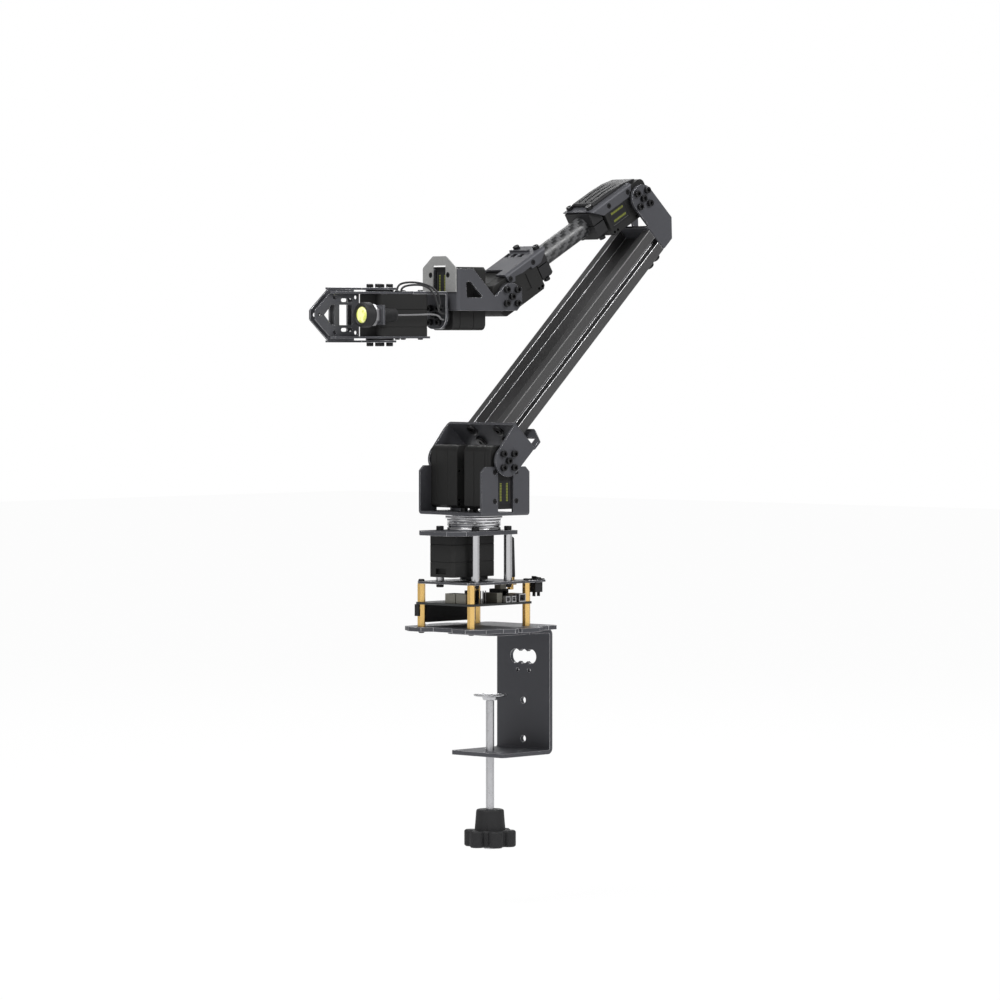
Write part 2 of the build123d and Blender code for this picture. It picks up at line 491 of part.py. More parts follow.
def turret():
    """What turns on the base: upper race, horn, shoulder bracket and the two shoulder servos."""
    low = RACE_Z + RACE_H + RACE_GAP
    race = drum(RACE_WAIST, low, TURRET_Z) + drum(RACE_D, low + 2.6, TURRET_Z) - drum(RACE_BORE, low,
                                                                                      TURRET_Z)
    race = race - Pos(0, 0, low - RACE_GAP / 2) * Torus(BALL_PITCH / 2, BALL_D / 2 + FIT)
    keep("upper_race", TURN * race)
    reach = TURRET_Z - (TOP_Z + HORN_H)
    spacer = drum(16.0, TOP_Z + HORN_H, TURRET_Z)
    hub = BASE_SERVO * horn(1) + (spacer - [Pos(x, y, TOP_Z + HORN_H + reach / 2)
                                            * Cylinder(SHANK_25 / 2 + FIT, reach)
                                            for x, y in square_pattern()])
    hub = hub - drum(SHANK_25 + 2 * FIT, TOP_Z, TURRET_Z)
    keep("base_horns", [TURN * hub, TURN * BASE_SERVO * horn(-1)])

    wall = SERVO_GAP / 2 + CASE_T
    inner, outer = wall, wall + SHEET
    mid = SHEET / 2
    tall = bent([(wall + mid, BRACKET_TOP), (wall + mid, TURRET_Z + mid), (-wall - mid, TURRET_Z + mid),
                 (-wall - mid, BRACKET_TOP)], 2 * BRACKET_X, SHEET)
    bracket = Rot(0, 0, 90) * tall
    for side in (1, -1):
        y = side * (inner + outer) / 2
        for x in (-1, 1):
            wedge = slab([(x, 1), (-x * 3.7, 1), (-x * 3.7, 0), (0, -3.7), (x, -3.7)], -2 * SHEET,
                         2 * SHEET)
            bracket = bracket - at(Pos(), (x * BRACKET_X, y, BRACKET_TOP), **RIGHT) * wedge
        slot_low = TURRET_Z + SHEET + 0.4
        bracket = bracket - box_between((-BRACKET_SLOT / 2, min(y - SHEET, y + SHEET), slot_low),
                                  (BRACKET_SLOT / 2, max(y - SHEET, y + SHEET), BRACKET_TOP + 1))
        bracket = bracket - Pos(0, y, SHOULDER_Z) * Rot(90, 0, 0) * Cylinder(HORN_D / 2 + 1.0, 2 * SHEET)
    window_low, window_high = TURRET_Z - 1, TURRET_Z + SHEET + 1
    for y in (25.5, -25.5):
        bracket = bracket - box_between((-16.0, y - 4.5, window_low), (16.0, y + 4.5, window_high))
    holes = [Pos(x, y, TURRET_Z) * Cylinder(SHANK_25 / 2 + EASY, 3 * SHEET) for x,
             y in square_pattern() + [(0, 0)]]
    holes += [place * Pos(0, 0, TURRET_Z) * Cylinder(SHANK_2 / 2 + EASY, 3 * SHEET)
              for place in PolarLocations(BALL_PITCH / 2, 4)]
    screws = [Pos(x, y, TURRET_Z + SHEET) * cap_screw(length=SHEET + 4) for x, y in square_pattern()]
    for side, servo_frame in SHOULDER_SERVOS.items():
        for x, y in mount_points():
            spot = servo_frame * Pos(x, y, CASE_T / 2 + SHEET)
            holes.append(TURN.inverse() * spot * sunk_hole(SHEET + 0.5))
            screws.append(TURN.inverse() * spot * sunk_screw(length=SHEET + 2.2))
    keep("shoulder_bracket", TURN * (bracket - holes))
    keep("bracket_screws", [TURN * s for s in screws])
    keep("shoulder_servos", [frame * shell for frame in SHOULDER_SERVOS.values() for shell in servo()])


def upper_arm():
    """Shoulder fork, extrusion and elbow fork, with horns and screws."""
    mid = SHOULDER_OUT + SHEET / 2
    top = FORK_WEB - SHEET / 2
    fork = Rot(0, 0, 90) * bent([(mid, -12), (mid, top), (-mid, top), (-mid, -12)], 60, SHEET)
    lever = make_face(Polyline((FORK_FRONT, FORK_WEB + 1), (FORK_FRONT, 17.3), (10.8, -3.3), (0, -5),
                               (FORK_BACK, 0),
                               (FORK_BACK, FORK_WEB + 1), close=True)) + Circle(-FORK_BACK)
    fork = fork & at(Pos(), (0, -60, 0), **LEFT) * Rot(180, 0, 0) * extrude(lever, amount=-120)
    flange = bent([(0, top), (-13, top), (-13, 43)], 72, SHEET)
    wings = slab([(-36, 0), (36, 0), (36, 32), (21, 43), (-21, 43), (-36, 32)], -20, 20)
    flange = flange & at(Pos(), (-10, 0, 0), x_dir=(0, 1, 0), z_dir=(1, 0, 0)) * wings
    flange = flange - [box_between((-20, y - 6, 28), (-5, y + 6, 35)) for y in (-24, 24)]
    fork = fork + flange
    web_screws = [(EXTRUSION_N + x, y) for x in (-6.0, 6.0) for y in (-14.8, 14.8)]
    fork = fork - [at(Pos(), (x, 0, z), **LEFT) * Cylinder(SHANK_25 / 2 + EASY, 4 * mid)
                   for x, z in turned_square(-UPPER_TILT) + [(0, 0)]]
    fork = fork - [Pos(x, y, top) * Cylinder(SHANK_25 / 2 + EASY, 3 * SHEET) for x, y in web_screws]
    keep("shoulder_fork", UPPER * fork)

    low, high = FORK_WEB, UPPER_LEN - ELBOW_DROP
    half_t, half_w = EXTRUSION_T / 2, EXTRUSION_W / 2
    section = RectangleRounded(EXTRUSION_T, EXTRUSION_W, 0.8)
    for side in (1, -1):
        section = section - Pos(side * (half_t - CAVITY_DEEP / 2), 0) * Rectangle(CAVITY_DEEP, CAVITY_W)
        section = section - Pos(0, side * (half_w - SLOT_DEEP / 2)) * Rectangle(SLOT_W, SLOT_DEEP)
    beam = Pos(EXTRUSION_N, 0, low) * extrude(section, amount=high - low)
    tap = SHANK_25 + 2 * FIT
    rear = [at(Pos(), (EXTRUSION_N - half_t, y, high - z), x_dir=(0, 1, 0), z_dir=(-1, 0, 0))
            for z in (8.0, 16.0) for y in (-16.2, 16.2)]
    beam = beam - [Pos(x, y, 0) * (drum(tap, low, low + 8) + drum(tap, high - 8, high)) for x,
                   y in web_screws]
    beam = beam - [spot * drum(tap, -4.6, 1) for spot in rear]
    keep("arm_extrusion", UPPER * beam)

    elbow = Pos(UPPER_OFFSET, 0, UPPER_LEN)
    out = HORN_OUT + SHEET / 2
    web_z = SHEET / 2 - ELBOW_DROP
    fork = Rot(0, 0, 90) * bent([(out, 14), (out, web_z), (-out, web_z), (-out, 14)], 120, SHEET)
    lever = make_face(Polyline((0, ELBOW_HALF), (-29.0, ELBOW_HALF), (-ELBOW_TAIL, -0.6),
                               (-ELBOW_TAIL, -ELBOW_DROP - 1),
                               (-18.0, -ELBOW_DROP - 1), (-18.0, -ELBOW_HALF), (0, -ELBOW_HALF),
                               close=True))
    fork = fork & at(Pos(), (0, -60, 0), **LEFT) * Rot(180, 0, 0) * extrude(lever + Circle(ELBOW_HALF),
                                                                            amount=-120)
    far = slab([(-16.0, -6.0), (-31.0, -6.0), (-31.0, 2.0), (-26.0, 5.0)], HORN_OUT - 1,
               HORN_OUT + SHEET + 1)
    cuts = [at(Pos(), (x, 0, z), **LEFT) * Cylinder(SHANK_25 / 2 + EASY, 60) for x,
            z in turned_square(28.0) + [(0, 0)]]
    cuts += [Pos(x - UPPER_OFFSET, y, web_z) * Cylinder(SHANK_25 / 2 + EASY, 3 * SHEET) for x,
             y in web_screws]
    cuts += [at(Pos(), (0, 0, 0), **RIGHT) * far]
    keep("elbow_fork", UPPER * elbow * (fork - cuts))

    spots = [at(UPPER, (0, side * SHOULDER_SIDE, 0), x_dir=(1, 0, 0), z_dir=(0, side, 0)) *
             Rot(0, 0, side * UPPER_TILT) for side in (1, -1)]
    keep("shoulder_horns", [spot * horn(1) for spot in spots])
    screws = [spot * s for spot in spots for s in horn_screws(1, SHEET)]
    screws += [UPPER * Pos(x, y, FORK_WEB - SHEET) * Rot(180, 0, 0)
               * pan_screw(FORK_HEAD_D, 1.8, SHANK_25, SHEET + 6)
               for x, y in web_screws]
    keep("shoulder_screws", screws)
    spot = UPPER * elbow * at(Pos(), (0, 0, 0), **LEFT) * Rot(0, 0, -28.0)
    keep("elbow_horns", [spot * horn(1), spot * horn(-1)])
    screws = [spot * s for side in (1, -1) for s in horn_screws(side, SHEET)]
    screws += [UPPER * Pos(x, y, high + SHEET) * pan_screw(5.0, 1.6, SHANK_25, SHEET + 6) for x,
               y in web_screws]
    screws += [UPPER * spot * pan_screw(7.0, 2.2, SHANK_25, 4.5) for spot in rear]
    keep("elbow_screws", screws)


def turned_square(angle):
    """Screw square of a horn, turned in its own plane, as x and z."""
    turn = radians(angle)
    return [(x * cos(turn) - y * sin(turn), x * sin(turn) + y * cos(turn)) for x, y in square_pattern()]


def cover(outline, columns):
    """Folded cover that lies on a servo and a tube clamp, with flanges down both faces of the servo."""
    side, top = (CASE_T + THIN) / 2, COVER_TOP - THIN / 2
    sheet = Rot(0, 0, 90) * bent([(side, -4), (side, top), (-side, top), (-side, -4)], 140, THIN)
    sheet = sheet & at(Pos(), (0, -60, 0), **LEFT) * Rot(180, 0,
            0) * extrude(make_face(Polyline(*outline, close=True)), amount=-120)
    spots = [at(Pos(), (x, side * (CASE_T / 2 + THIN), MOUNT_SIDE), x_dir=(1, 0, 0), z_dir=(0, side, 0))
             for side in (1, -1) for x in columns]
    sheet = sheet - [at(Pos(), (0, y, 0), **LEFT) * Cylinder(HORN_D / 2 + 0.5, 6) for y in (-side, side)]
    return sheet - [spot * sunk_hole(THIN + 0.5)
                    for spot in spots], [spot * sunk_screw(length=THIN + 2.3) for spot in spots]


def tube_clamp(start, top_screw):
    """Split block round the tube, with the cover's screws on top and its own underneath."""
    centre = start + BLOCK_L / 2
    under = COVER_TOP - THIN
    whole = box_between((start, -BLOCK_W / 2, BLOCK_BOTTOM), (start + BLOCK_L, BLOCK_W / 2, under))
    whole = chamfer(whole.edges().filter_by(Axis.X).group_by(Axis.Z)[0], 2.0)
    whole = whole - at(Pos(), (centre, 0, TUBE_LIFT), x_dir=(0, 1, 0),
                       z_dir=(1, 0, 0)) * Cylinder(TUBE_D / 2, 30)
    split = TUBE_LIFT + 0.4
    pieces = []
    for low, high in ((BLOCK_BOTTOM - 1, split - BLOCK_SPLIT), (split, under + 1)):
        piece = whole & box_between((start - 1, -30, low), (start + BLOCK_L + 1, 30, high))
        cuts = [Pos(centre, y, BLOCK_BOTTOM) * drum(SHANK_25 + 2 * FIT, 0, 16.2) for y in (-10.5, 10.5)]
        cuts += [Pos(top_screw, y, under) * drum(SHANK_25 + 2 * FIT, -4.2, 1) for y in (-11.0, 11.0)]
        pieces.append(piece - cuts)
    screws = [Pos(centre, y, BLOCK_BOTTOM) * Rot(180, 0, 0) * cap_screw(HEAD_25, 2.2, SHANK_25, 16)
              for y in (-10.5, 10.5)]
    screws += [Pos(top_screw, y, COVER_TOP) * cap_screw(length=THIN + 4) for y in (-11.0, 11.0)]
    return pieces, screws


def forearm():
    """Elbow and wrist servos on a tube, each under its cover."""
    keep("elbow_servo", [ELBOW_SERVO * shell for shell in servo()])
    keep("wrist_servo", [WRIST_SERVO * shell for shell in servo()])
    block, elbow_screw, wrist_screw = BLOCK_START, BLOCK_START + 5.9, BLOCK_START + 7.3
    outline = [(2.5, 20), (2.5, 13.2), (4.3, 10.3), (6.0, 6.2), (block + 0.3, 6.2), (block + 9.7, 14.0),
               (block + 13.2, 20)]
    sheet, screws = cover(outline, (MOUNT_NEAR, MOUNT_FAR))
    blocks, block_screws = tube_clamp(block, elbow_screw)
    sheet = sheet - [Pos(elbow_screw, y, COVER_TOP) * Cylinder(SHANK_25 / 2 + EASY, 3 * THIN)
                     for y in (-11.0, 11.0)]
    keep("elbow_cover", FORE * sheet)
    screws += block_screws

    profile = make_face(Polyline((-6.0, 12.6), (-5.2, 13.8), (5.0, 15.9), (20.0, 17.2),
                                 (block + 1.7, 17.3), (block + 2.9, 16.6),
                                 (block + 2.9, COVER_TOP), (2.2, COVER_TOP), (2.2, 12.6), close=True))
    fairing = at(Pos(), (0, -FAIRING_W / 2, 0), **LEFT) * Rot(180, 0, 0) * extrude(profile,
                                                                                   amount=-FAIRING_W)
    for side in (1, -1):
        fairing = fairing - Pos(0, side * FAIRING_W / 2, 18.2) * Rot(45, 0, 0) * Box(120, 3.0, 3.0)
    grooves = [box_between((4.0, y - 0.9, 16.0), (block - 0.3, y + 0.9, 20)) for y in (-6.0, 0, 6.0)]
    keep("elbow_fairing", FORE * (fairing - grooves))

    start = FORE_LEN - BLOCK_START - BLOCK_L
    outline = [(-block - 14.7, 20), (-block - 11.1, 14.1), (-block - 9.3, 11.1), (-block - 2.2, 6.2),
               (-29.6, 6.2), (-28.6, 8.3), (-19.5, 8.2),
               (-12.6, 9.4), (-11.0, 6.4), (-6.4, 6.9), (-5.2, 11.6), (-5.2, 20)]
    sheet, side_screws = cover(outline, (-MOUNT_END, -MOUNT_NEAR))
    sheet = sheet - box_between((-13.0, -30, 13.0), (0, 5.4, 20))
    sheet = sheet - [box_between((-block - 0.2, y - 2.3, 12), (-block + 4.8, y + 2.3, 20))
                     for y in (-12.0, -4.6, 3.6)]
    sheet = sheet + box_between((-block - 3.9, -14.5, COVER_TOP - 0.5),
                                (-block - 2.7, 7.0, COVER_TOP + 1.4))
    sheet = sheet - [Pos(-wrist_screw, y, COVER_TOP) * Cylinder(SHANK_25 / 2 + EASY, 3 * THIN)
                     for y in (-11.0, 11.0)]
    keep("wrist_cover", FORE * Pos(FORE_LEN, 0, 0) * sheet)
    wrist_blocks, block_screws = tube_clamp(start, FORE_LEN - wrist_screw)
    keep("tube_clamps", [FORE * b for b in blocks + wrist_blocks])
    screws = screws + block_screws + [Pos(FORE_LEN, 0, 0) * s for s in side_screws]
    keep("forearm_screws", [FORE * s for s in screws])
    tube = Cylinder(TUBE_D / 2, FORE_LEN - 2 * BLOCK_START - 1) - Cylinder(TUBE_BORE / 2, FORE_LEN)
    keep("forearm_tube", at(FORE, (FORE_LEN / 2, 0, TUBE_LIFT), x_dir=(0, 1, 0), z_dir=(1, 0, 0)) * tube)


def wrist():
    """Bracket between the wrist servo and the roll servo, with the plate on its front."""
    mid, front = HORN_OUT + SHEET / 2, WEB_X - SHEET / 2
    bracket = Pos(0, 0, 9) * Rot(90, 0, 0) * bent([(-14, mid), (front, mid), (front, -mid), (-14, -mid)],
                                                  60, SHEET)
    outline = [(WEB_X + 1, -10.3), (WEB_X + 1, 19.4), (35.3, 19.4), (15.4, -0.3), (7.6, 6.0), (0, 8),
               (-6.9, 6.9),
               (-9.6, 6.4), (-9.6, -5.5), (-5.0, -10.3)]
    side = make_face(Polyline(*outline, close=True)) + Circle(9.7)
    window = make_face(Polyline((42, 10.4), (37.7, 10.4), (27.2, 0.3), (27.8, -1.1), (41.2, -1.2),
                                close=True))
    side = side - fillet(window.vertices().filter_by(lambda v: v.X > 30), 1.5)
    bracket = bracket & at(Pos(), (0, -60, 0), **LEFT) * Rot(180, 0, 0) * extrude(side, amount=-120)
    axis = Pos(WEB_X, 0, -ROLL_DROP) * Rot(0, 90, 0)
    cuts = [axis * Cylinder(HORN_D / 2 + 0.5, 8),
            box_between((WEB_X - 5, -WINDOW_W / 2, WEB_LOW), (WEB_X + 1, WINDOW_W / 2, 30))]
    cuts += [at(Pos(), (x, 0, z), **LEFT) * Cylinder(SHANK_25 / 2 + EASY, 60) for x,
             z in square_pattern() + [(0, 0)]]
    fixing = [ROLL_SERVO * Pos(x, y, CASE_T / 2 + SHEET + ROLL_PLATE_T) for x, y in mount_points(MOUNT_FAR)]
    cuts += [HAND.inverse() * spot * sunk_hole(SHEET + ROLL_PLATE_T + 0.5) for spot in fixing]
    keep("wrist_bracket", HAND * (bracket - cuts))
    face = make_face(Polyline((-WEB_HALF, WEB_LOW), (WEB_HALF, WEB_LOW), (WEB_HALF, 20.2), (7.4, WEB_HIGH),
                              (-7.4, WEB_HIGH), (-WEB_HALF, 20.2), close=True))
    face = fillet(face.vertices().group_by(Axis.Y)[1:], 2.0)
    face = face - Pos(0, (WEB_LOW + WINDOW_TOP) / 2 - 1) * Rectangle(WINDOW_W, WINDOW_TOP - WEB_LOW + 2)
    plate = at(Pos(), (WEB_X, 0, 0), x_dir=(0, 1, 0), z_dir=(1, 0, 0)) * extrude(face, amount=ROLL_PLATE_T)
    keep("roll_plate", HAND
         * (plate - [HAND.inverse() * s * sunk_hole(SHEET + ROLL_PLATE_T + 0.5) for s in fixing]))
    spot = HAND * at(Pos(), (0, 0, 0), **LEFT)
    keep("wrist_horns", [spot * horn(1), spot * horn(-1)])
    screws = [spot * s for side in (1, -1) for s in horn_screws(side, SHEET)]
    keep("wrist_screws", screws + [s * sunk_screw(length=SHEET + ROLL_PLATE_T + 2.0) for s in fixing])
    keep("roll_servo", [ROLL_SERVO * shell for shell in servo()])


def jaw_sheet(half, root, shoulder, tip, tip_half):
    """Flat web of a jaw in the y = 0 plane, about the gripper's mid height, with its windows."""
    web = make_face(Polyline((root, -half), (shoulder, -half), (tip, -tip_half), (tip, tip_half),
                             (shoulder, half),
                             (root, half), close=True))
    holes = [Pos(root + 11.6, 0) * Rectangle(11.6, 14.3), Pos(root + 34.8, 0) * Circle(1.5)]
    far, near = root + 24.4, root + 21.6
    holes += [make_face(Polyline((root + 30.8, 0), (far, 7.0), (near, 7.0), (near, -7.0), (far, -7.0),
                                 close=True))]
    holes += [Pos(x, z) * Circle(1.5) for x in (near, root + 2.8) for z in (-12.4, 12.4)]
    holes += [Pos(root + 10.9, z) * SlotOverall(10.1, 2.6) for z in (-10.4, 10.4)]
    return web - holes


def upright(face, y, thick):
    """Stand a face drawn in x and z up at one y, with its thickness toward +Y."""
    return Pos(0, y, -ROLL_DROP) * Rot(90, 0, 0) * extrude(face, amount=-thick)


def hand():
    """Rolling hand: its bracket, the gripper servo with the fixed jaw, lamp and cables."""
    face = HAND_PLATE_X
    reach = face - WEB_X - HORN_H + SHEET
    spacer = Pos(0, 0, CASE_T / 2 + HORN_H) * (drum(16.0, 0, reach)
                                               - [Pos(x, y, 1) * Cylinder(SHANK_25 / 2 + FIT, 9)
                                                                       for x, y in square_pattern()
                                                  + [(0, 0)]])
    keep("roll_horn", ROLL_SERVO * (horn(1) + spacer))
    top = CASE_T / 2 - ROLL_DROP
    mid = face + SHEET / 2
    bracket = bent([(mid, -23.5), (mid, top + SHEET / 2), (GRIP_REACH - 20.4, top + SHEET / 2)], CASE_W,
                   SHEET)
    foot = bracket.edges().filter_by(lambda e: abs(e.length - SHEET) < 0.1 and e.center().Z < -20)
    bracket = fillet(foot, 9.0)
    axis = Pos(mid, 0, -ROLL_DROP) * Rot(0, 90, 0)
    fixing = [(GRIP_REACH - MOUNT_FAR, y) for y in (-MOUNT_SIDE, MOUNT_SIDE)]
    bracket = bracket - [axis * Pos(x, y, 0) * Cylinder(SHANK_25 / 2 + EASY, 3 * SHEET) for x,
                         y in square_pattern() + [(0, 0)]]
    bracket = bracket - [Pos(x, y, top) * Cylinder(SHANK_2 / 2 + EASY, 3 * SHEET) for x, y in fixing]
    keep("hand_bracket", HAND * bracket)
    keep("gripper_servo", [GRIP_SERVO * shell for shell in servo()])

    low = -ROLL_DROP - CASE_T / 2
    near = [(GRIP_REACH - MOUNT_NEAR, y) for y in (-MOUNT_SIDE, MOUNT_SIDE)]
    half = CASE_T / 2 + THIN
    case_end, knee = GRIP_REACH + SHAFT_INSET, JAW_ROOT + 25.8
    jaw = upright(jaw_sheet(half - THIN, JAW_ROOT, knee, JAW_TIP, 3.4), JAW_GAP, THIN)
    plan = [(case_end, 12.35), (JAW_ROOT + 2.4, 8.4), (knee - 2.4, 7.0), (knee, 5.0), (knee, JAW_GAP),
            (LAMP_TAB_X, JAW_GAP),
            (case_end + 2.5, -9.0), (case_end, -12.35)]
    plates = []
    for side, back in ((1, GRIP_REACH - 19.4), (-1, GRIP_REACH - CASE_L + SHAFT_INSET - 1.0)):
        plate = slab([(back, -12.35), (back, 12.35)] + plan, 0, THIN)
        plates.append(Pos(0, 0, -ROLL_DROP + (CASE_T / 2 if side > 0 else -half)) * plate)
    tab = box_between((LAMP_TAB_X, JAW_GAP, -ROLL_DROP - 7),
                      (LAMP_TAB_X + THIN, LAMP_Y + 9.5, -ROLL_DROP + 7))
    tab = tab + box_between((LAMP_TAB_X, JAW_GAP, -ROLL_DROP - 7),
                            (JAW_ROOT + 1, JAW_GAP + THIN, -ROLL_DROP + 7))
    barrel_axis = Pos(0, LAMP_Y, -ROLL_DROP) * Rot(0, 90, 0)
    jaw = jaw + tab - barrel_axis * drum(LAMP_D + 2 * FIT, LAMP_TAB_X - 1, LAMP_TAB_X + 3)
    cuts = [Pos(GRIP_REACH, 0, z) * Cylinder(HORN_D / 2 + 0.7, 3) for z in (top + 0.7, low - 0.7)]
    cuts += [Pos(x, y, top) * Cylinder(SHANK_2 / 2 + EASY, 6) for x, y in near]
    cuts += [Pos(x, y, low) * Cylinder(SHANK_2 / 2 + EASY, 6) for x, y in near + fixing]
    keep("fixed_jaw", [HAND * (piece - cuts) for piece in [jaw] + plates])

    start = LAMP_TAB_X + THIN
    back, front = start + NUT_H, start + LAMP_HEAD_L
    rim, seat = LAMP_HEAD_D / 2, LENS_D / 2 + FIT
    head = revolve(Plane.XZ * make_face(Polyline(
        (0, back), (rim - 1.5, back), (rim, back + 2.0), (rim, front - 1.6), (rim - 1.0, front - 0.2),
        (rim - 1.8, front), (seat + 0.6, front - 0.6), (seat, front - 1.4), (seat, front - 3.0),
                                                 (0, front - 3.0),
        close=True)), Axis.Z)
    grooves = [Pos(0, 0, z) * (drum(LAMP_D + 1, 0, 0.5) - drum(LAMP_D - 0.8, -1, 1)) for z in
               [LAMP_TAIL + 1.2 + 1.1 * i for i in range(9)]]
    keep("lamp_head", HAND * barrel_axis * (head + (drum(LAMP_D, LAMP_TAIL, back) - grooves)))
    lens = drum(LENS_D, front - 3.0, front - 0.4)
    lens = chamfer(lens.edges().group_by(Axis.Z)[-1], 0.8)
    keep("lamp_lens", HAND * barrel_axis * lens)
    nut = extrude(Pos(0, 0, start) * RegularPolygon(NUT_AF / 2, 6, major_radius=False), amount=NUT_H)
    keep("lamp_nut", HAND * barrel_axis * (nut - drum(LAMP_D + 2 * FIT, start - 1, back + 1)))

    plate = face + SHEET
    first, second = GRIP_REACH - 13.9, GRIP_REACH - 17.2
    routes = [[(first, 2.0, top + THIN), (first, 2.0, 7.2), (first - 6.0, 4.0, 9.8), (74.0, 9.0, 9.4),
               (66.0, 16.8, 4.4),
               (62.0, 15.6, -4.6), (58.2, 10.2, -8.8), (plate, 10.2, -8.8)],
              [(second, 2.5, top + THIN), (second, 2.5, 6.0), (second - 7.2, 5.0, 8.0),
               (72.5, 11.5, 7.6), (68.0, 17.0, 1.6),
               (64.0, 15.6, -8.0), (58.6, 11.2, -12.6), (plate, 11.2, -12.6)]]
    keep("servo_cables", [HAND * cord(route, CABLE_D) for route in routes])
    lead = [(LAMP_TAIL, LAMP_Y, -ROLL_DROP), (88.0, LAMP_Y, -ROLL_DROP), (70.0, 17.2, -12.8),
            (62.4, 15.4, -14.4),
            (57.4, 10.2, -16.8), (plate, 10.2, -16.8)]
    keep("lamp_wire", HAND * cord(lead, WIRE_D))

    roll_face = CASE_T / 2 + HORN_H + reach + SHEET
    screws = [ROLL_SERVO * Pos(x, y, roll_face) * cap_screw(length=SHEET + reach + 2.4) for x,
              y in square_pattern() + [(0, 0)]]
    heads = [(x, y, top + SHEET, 1, SHEET) for x, y in fixing] + [(x, y, top + THIN, 1, THIN) for x,
                                                                  y in near]
    heads += [(x, y, low - THIN, -1, THIN) for x, y in near + fixing]
    for x, y, z, side, sheet in heads:
        turn = Rot(0, 0, 0) if side > 0 else Rot(180, 0, 0)
        screws.append(HAND * Pos(x, y, z) * turn * pan_screw(3.8, 1.0, SHANK_2, sheet + 2.6))
    keep("hand_screws", screws)


def cord(points, diameter):
    """Round cable of straight runs joined by the largest arcs that they allow."""
    points = [Vector(*p) for p in points]
    runs = [b - a for a, b in zip(points, points[1:])]
    radii = [0.45 * min(u.length, v.length) / tan(radians(u.get_angle(v)) / 2) for u,
             v in zip(runs, runs[1:])]
    path = FilletPolyline(*points, radius=radii)
    tube = sweep(Plane(path @ 0, z_dir=path % 0) * Circle(diameter / 2), path=path)
    print("cord radii", [round(r, 1) for r in radii], "volume ratio",
          round(tube.volume / path.length / pi * 4 / diameter ** 2, 3))
    return tube


def moving_jaw():
    """Jaw on the gripper servo's horns, with its screws."""
    half = HORN_OUT + THIN
    knee = JAW_ROOT + 23.2
    jaw = upright(jaw_sheet(HORN_OUT, JAW_ROOT, knee, JAW_TIP + 0.4, 3.4), -JAW_GAP - THIN, THIN)
    plan = make_face(Polyline((GRIP_REACH, 11.7), (GRIP_REACH + 6.0, 10.0),
                              (GRIP_REACH + 14.6, -JAW_GAP), (knee, -JAW_GAP),
                              (knee, -5.0), (knee - 2.8, -7.0), (JAW_ROOT + 2.4, -8.4),
                              (GRIP_REACH + 7.6, -9.0),
                              (GRIP_REACH, -11.7), close=True))
    plan = plan + Pos(GRIP_REACH, 0) * Circle(11.7)
    plates = [Pos(0, 0, -ROLL_DROP + level) * extrude(plan, amount=THIN) for level in (HORN_OUT, -half)]
    cuts = [Pos(GRIP_REACH + x, y, -ROLL_DROP) * Cylinder(SHANK_25 / 2 + EASY, 60) for x,
            y in square_pattern() + [(0, 0)]]
    keep("moving_jaw", [HAND * (piece - cuts) for piece in [jaw] + plates])
    keep("gripper_horns", [GRIP_SERVO * horn(1), GRIP_SERVO * horn(-1)])
    keep("jaw_screws", [GRIP_SERVO * s for side in (1, -1) for s in horn_screws(side, THIN)])


if __name__ == "__main__":
    for step in (table_clamp, base_plate, driver_stack, switch_and_antenna, base_tower, turret,
                 upper_arm, forearm,
                 wrist, hand, moving_jaw):
        step()
    os.makedirs("parts", exist_ok=True)
    for name, solids in parts.items():
        export_step(Compound(children=solids), f"parts/{name}.step")
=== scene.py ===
# %% [markdown]
# # A desktop robot arm
# The real object is black servo cases held together by folded sheet, on one long extrusion
# and a carbon tube. The solids come from the CAD model, already in place, so this file gives
# them their finishes, adds the few forms that a solid model leaves plain, and sets the studio.

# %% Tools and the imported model
import json
import math

import bpy
import bmesh
from mathutils import Matrix, Vector


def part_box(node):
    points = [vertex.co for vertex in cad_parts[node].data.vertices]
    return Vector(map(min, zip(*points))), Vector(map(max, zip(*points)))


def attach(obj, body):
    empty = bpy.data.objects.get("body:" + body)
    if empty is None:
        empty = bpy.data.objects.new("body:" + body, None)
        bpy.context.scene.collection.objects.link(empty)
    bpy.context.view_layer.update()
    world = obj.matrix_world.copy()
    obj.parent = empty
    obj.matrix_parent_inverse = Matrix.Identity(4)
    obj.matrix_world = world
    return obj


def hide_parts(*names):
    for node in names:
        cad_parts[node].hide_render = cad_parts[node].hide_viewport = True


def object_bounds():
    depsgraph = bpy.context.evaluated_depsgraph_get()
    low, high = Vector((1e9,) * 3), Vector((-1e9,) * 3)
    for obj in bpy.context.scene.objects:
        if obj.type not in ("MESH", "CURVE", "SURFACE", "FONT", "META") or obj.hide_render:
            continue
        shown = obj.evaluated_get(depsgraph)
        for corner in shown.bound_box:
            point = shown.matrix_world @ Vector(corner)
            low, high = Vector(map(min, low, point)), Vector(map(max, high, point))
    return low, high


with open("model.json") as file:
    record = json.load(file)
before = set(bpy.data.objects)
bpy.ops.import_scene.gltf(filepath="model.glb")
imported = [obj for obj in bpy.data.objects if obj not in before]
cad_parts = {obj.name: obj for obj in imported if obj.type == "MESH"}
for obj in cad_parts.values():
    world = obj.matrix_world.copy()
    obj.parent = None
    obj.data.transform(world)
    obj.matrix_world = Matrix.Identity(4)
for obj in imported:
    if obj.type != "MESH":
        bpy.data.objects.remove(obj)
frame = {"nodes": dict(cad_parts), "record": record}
cad_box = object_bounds()
nodes = frame["nodes"]
print("solids loaded:", len(nodes))

# %% [markdown]
# ## The frames of the arm
# The arm is stored bent, so a label on the forearm isn't in line with the world. Each link
# has a frame, a matrix that carries points from the link to the world. They are made in the
# same order as the joints, from the table up.

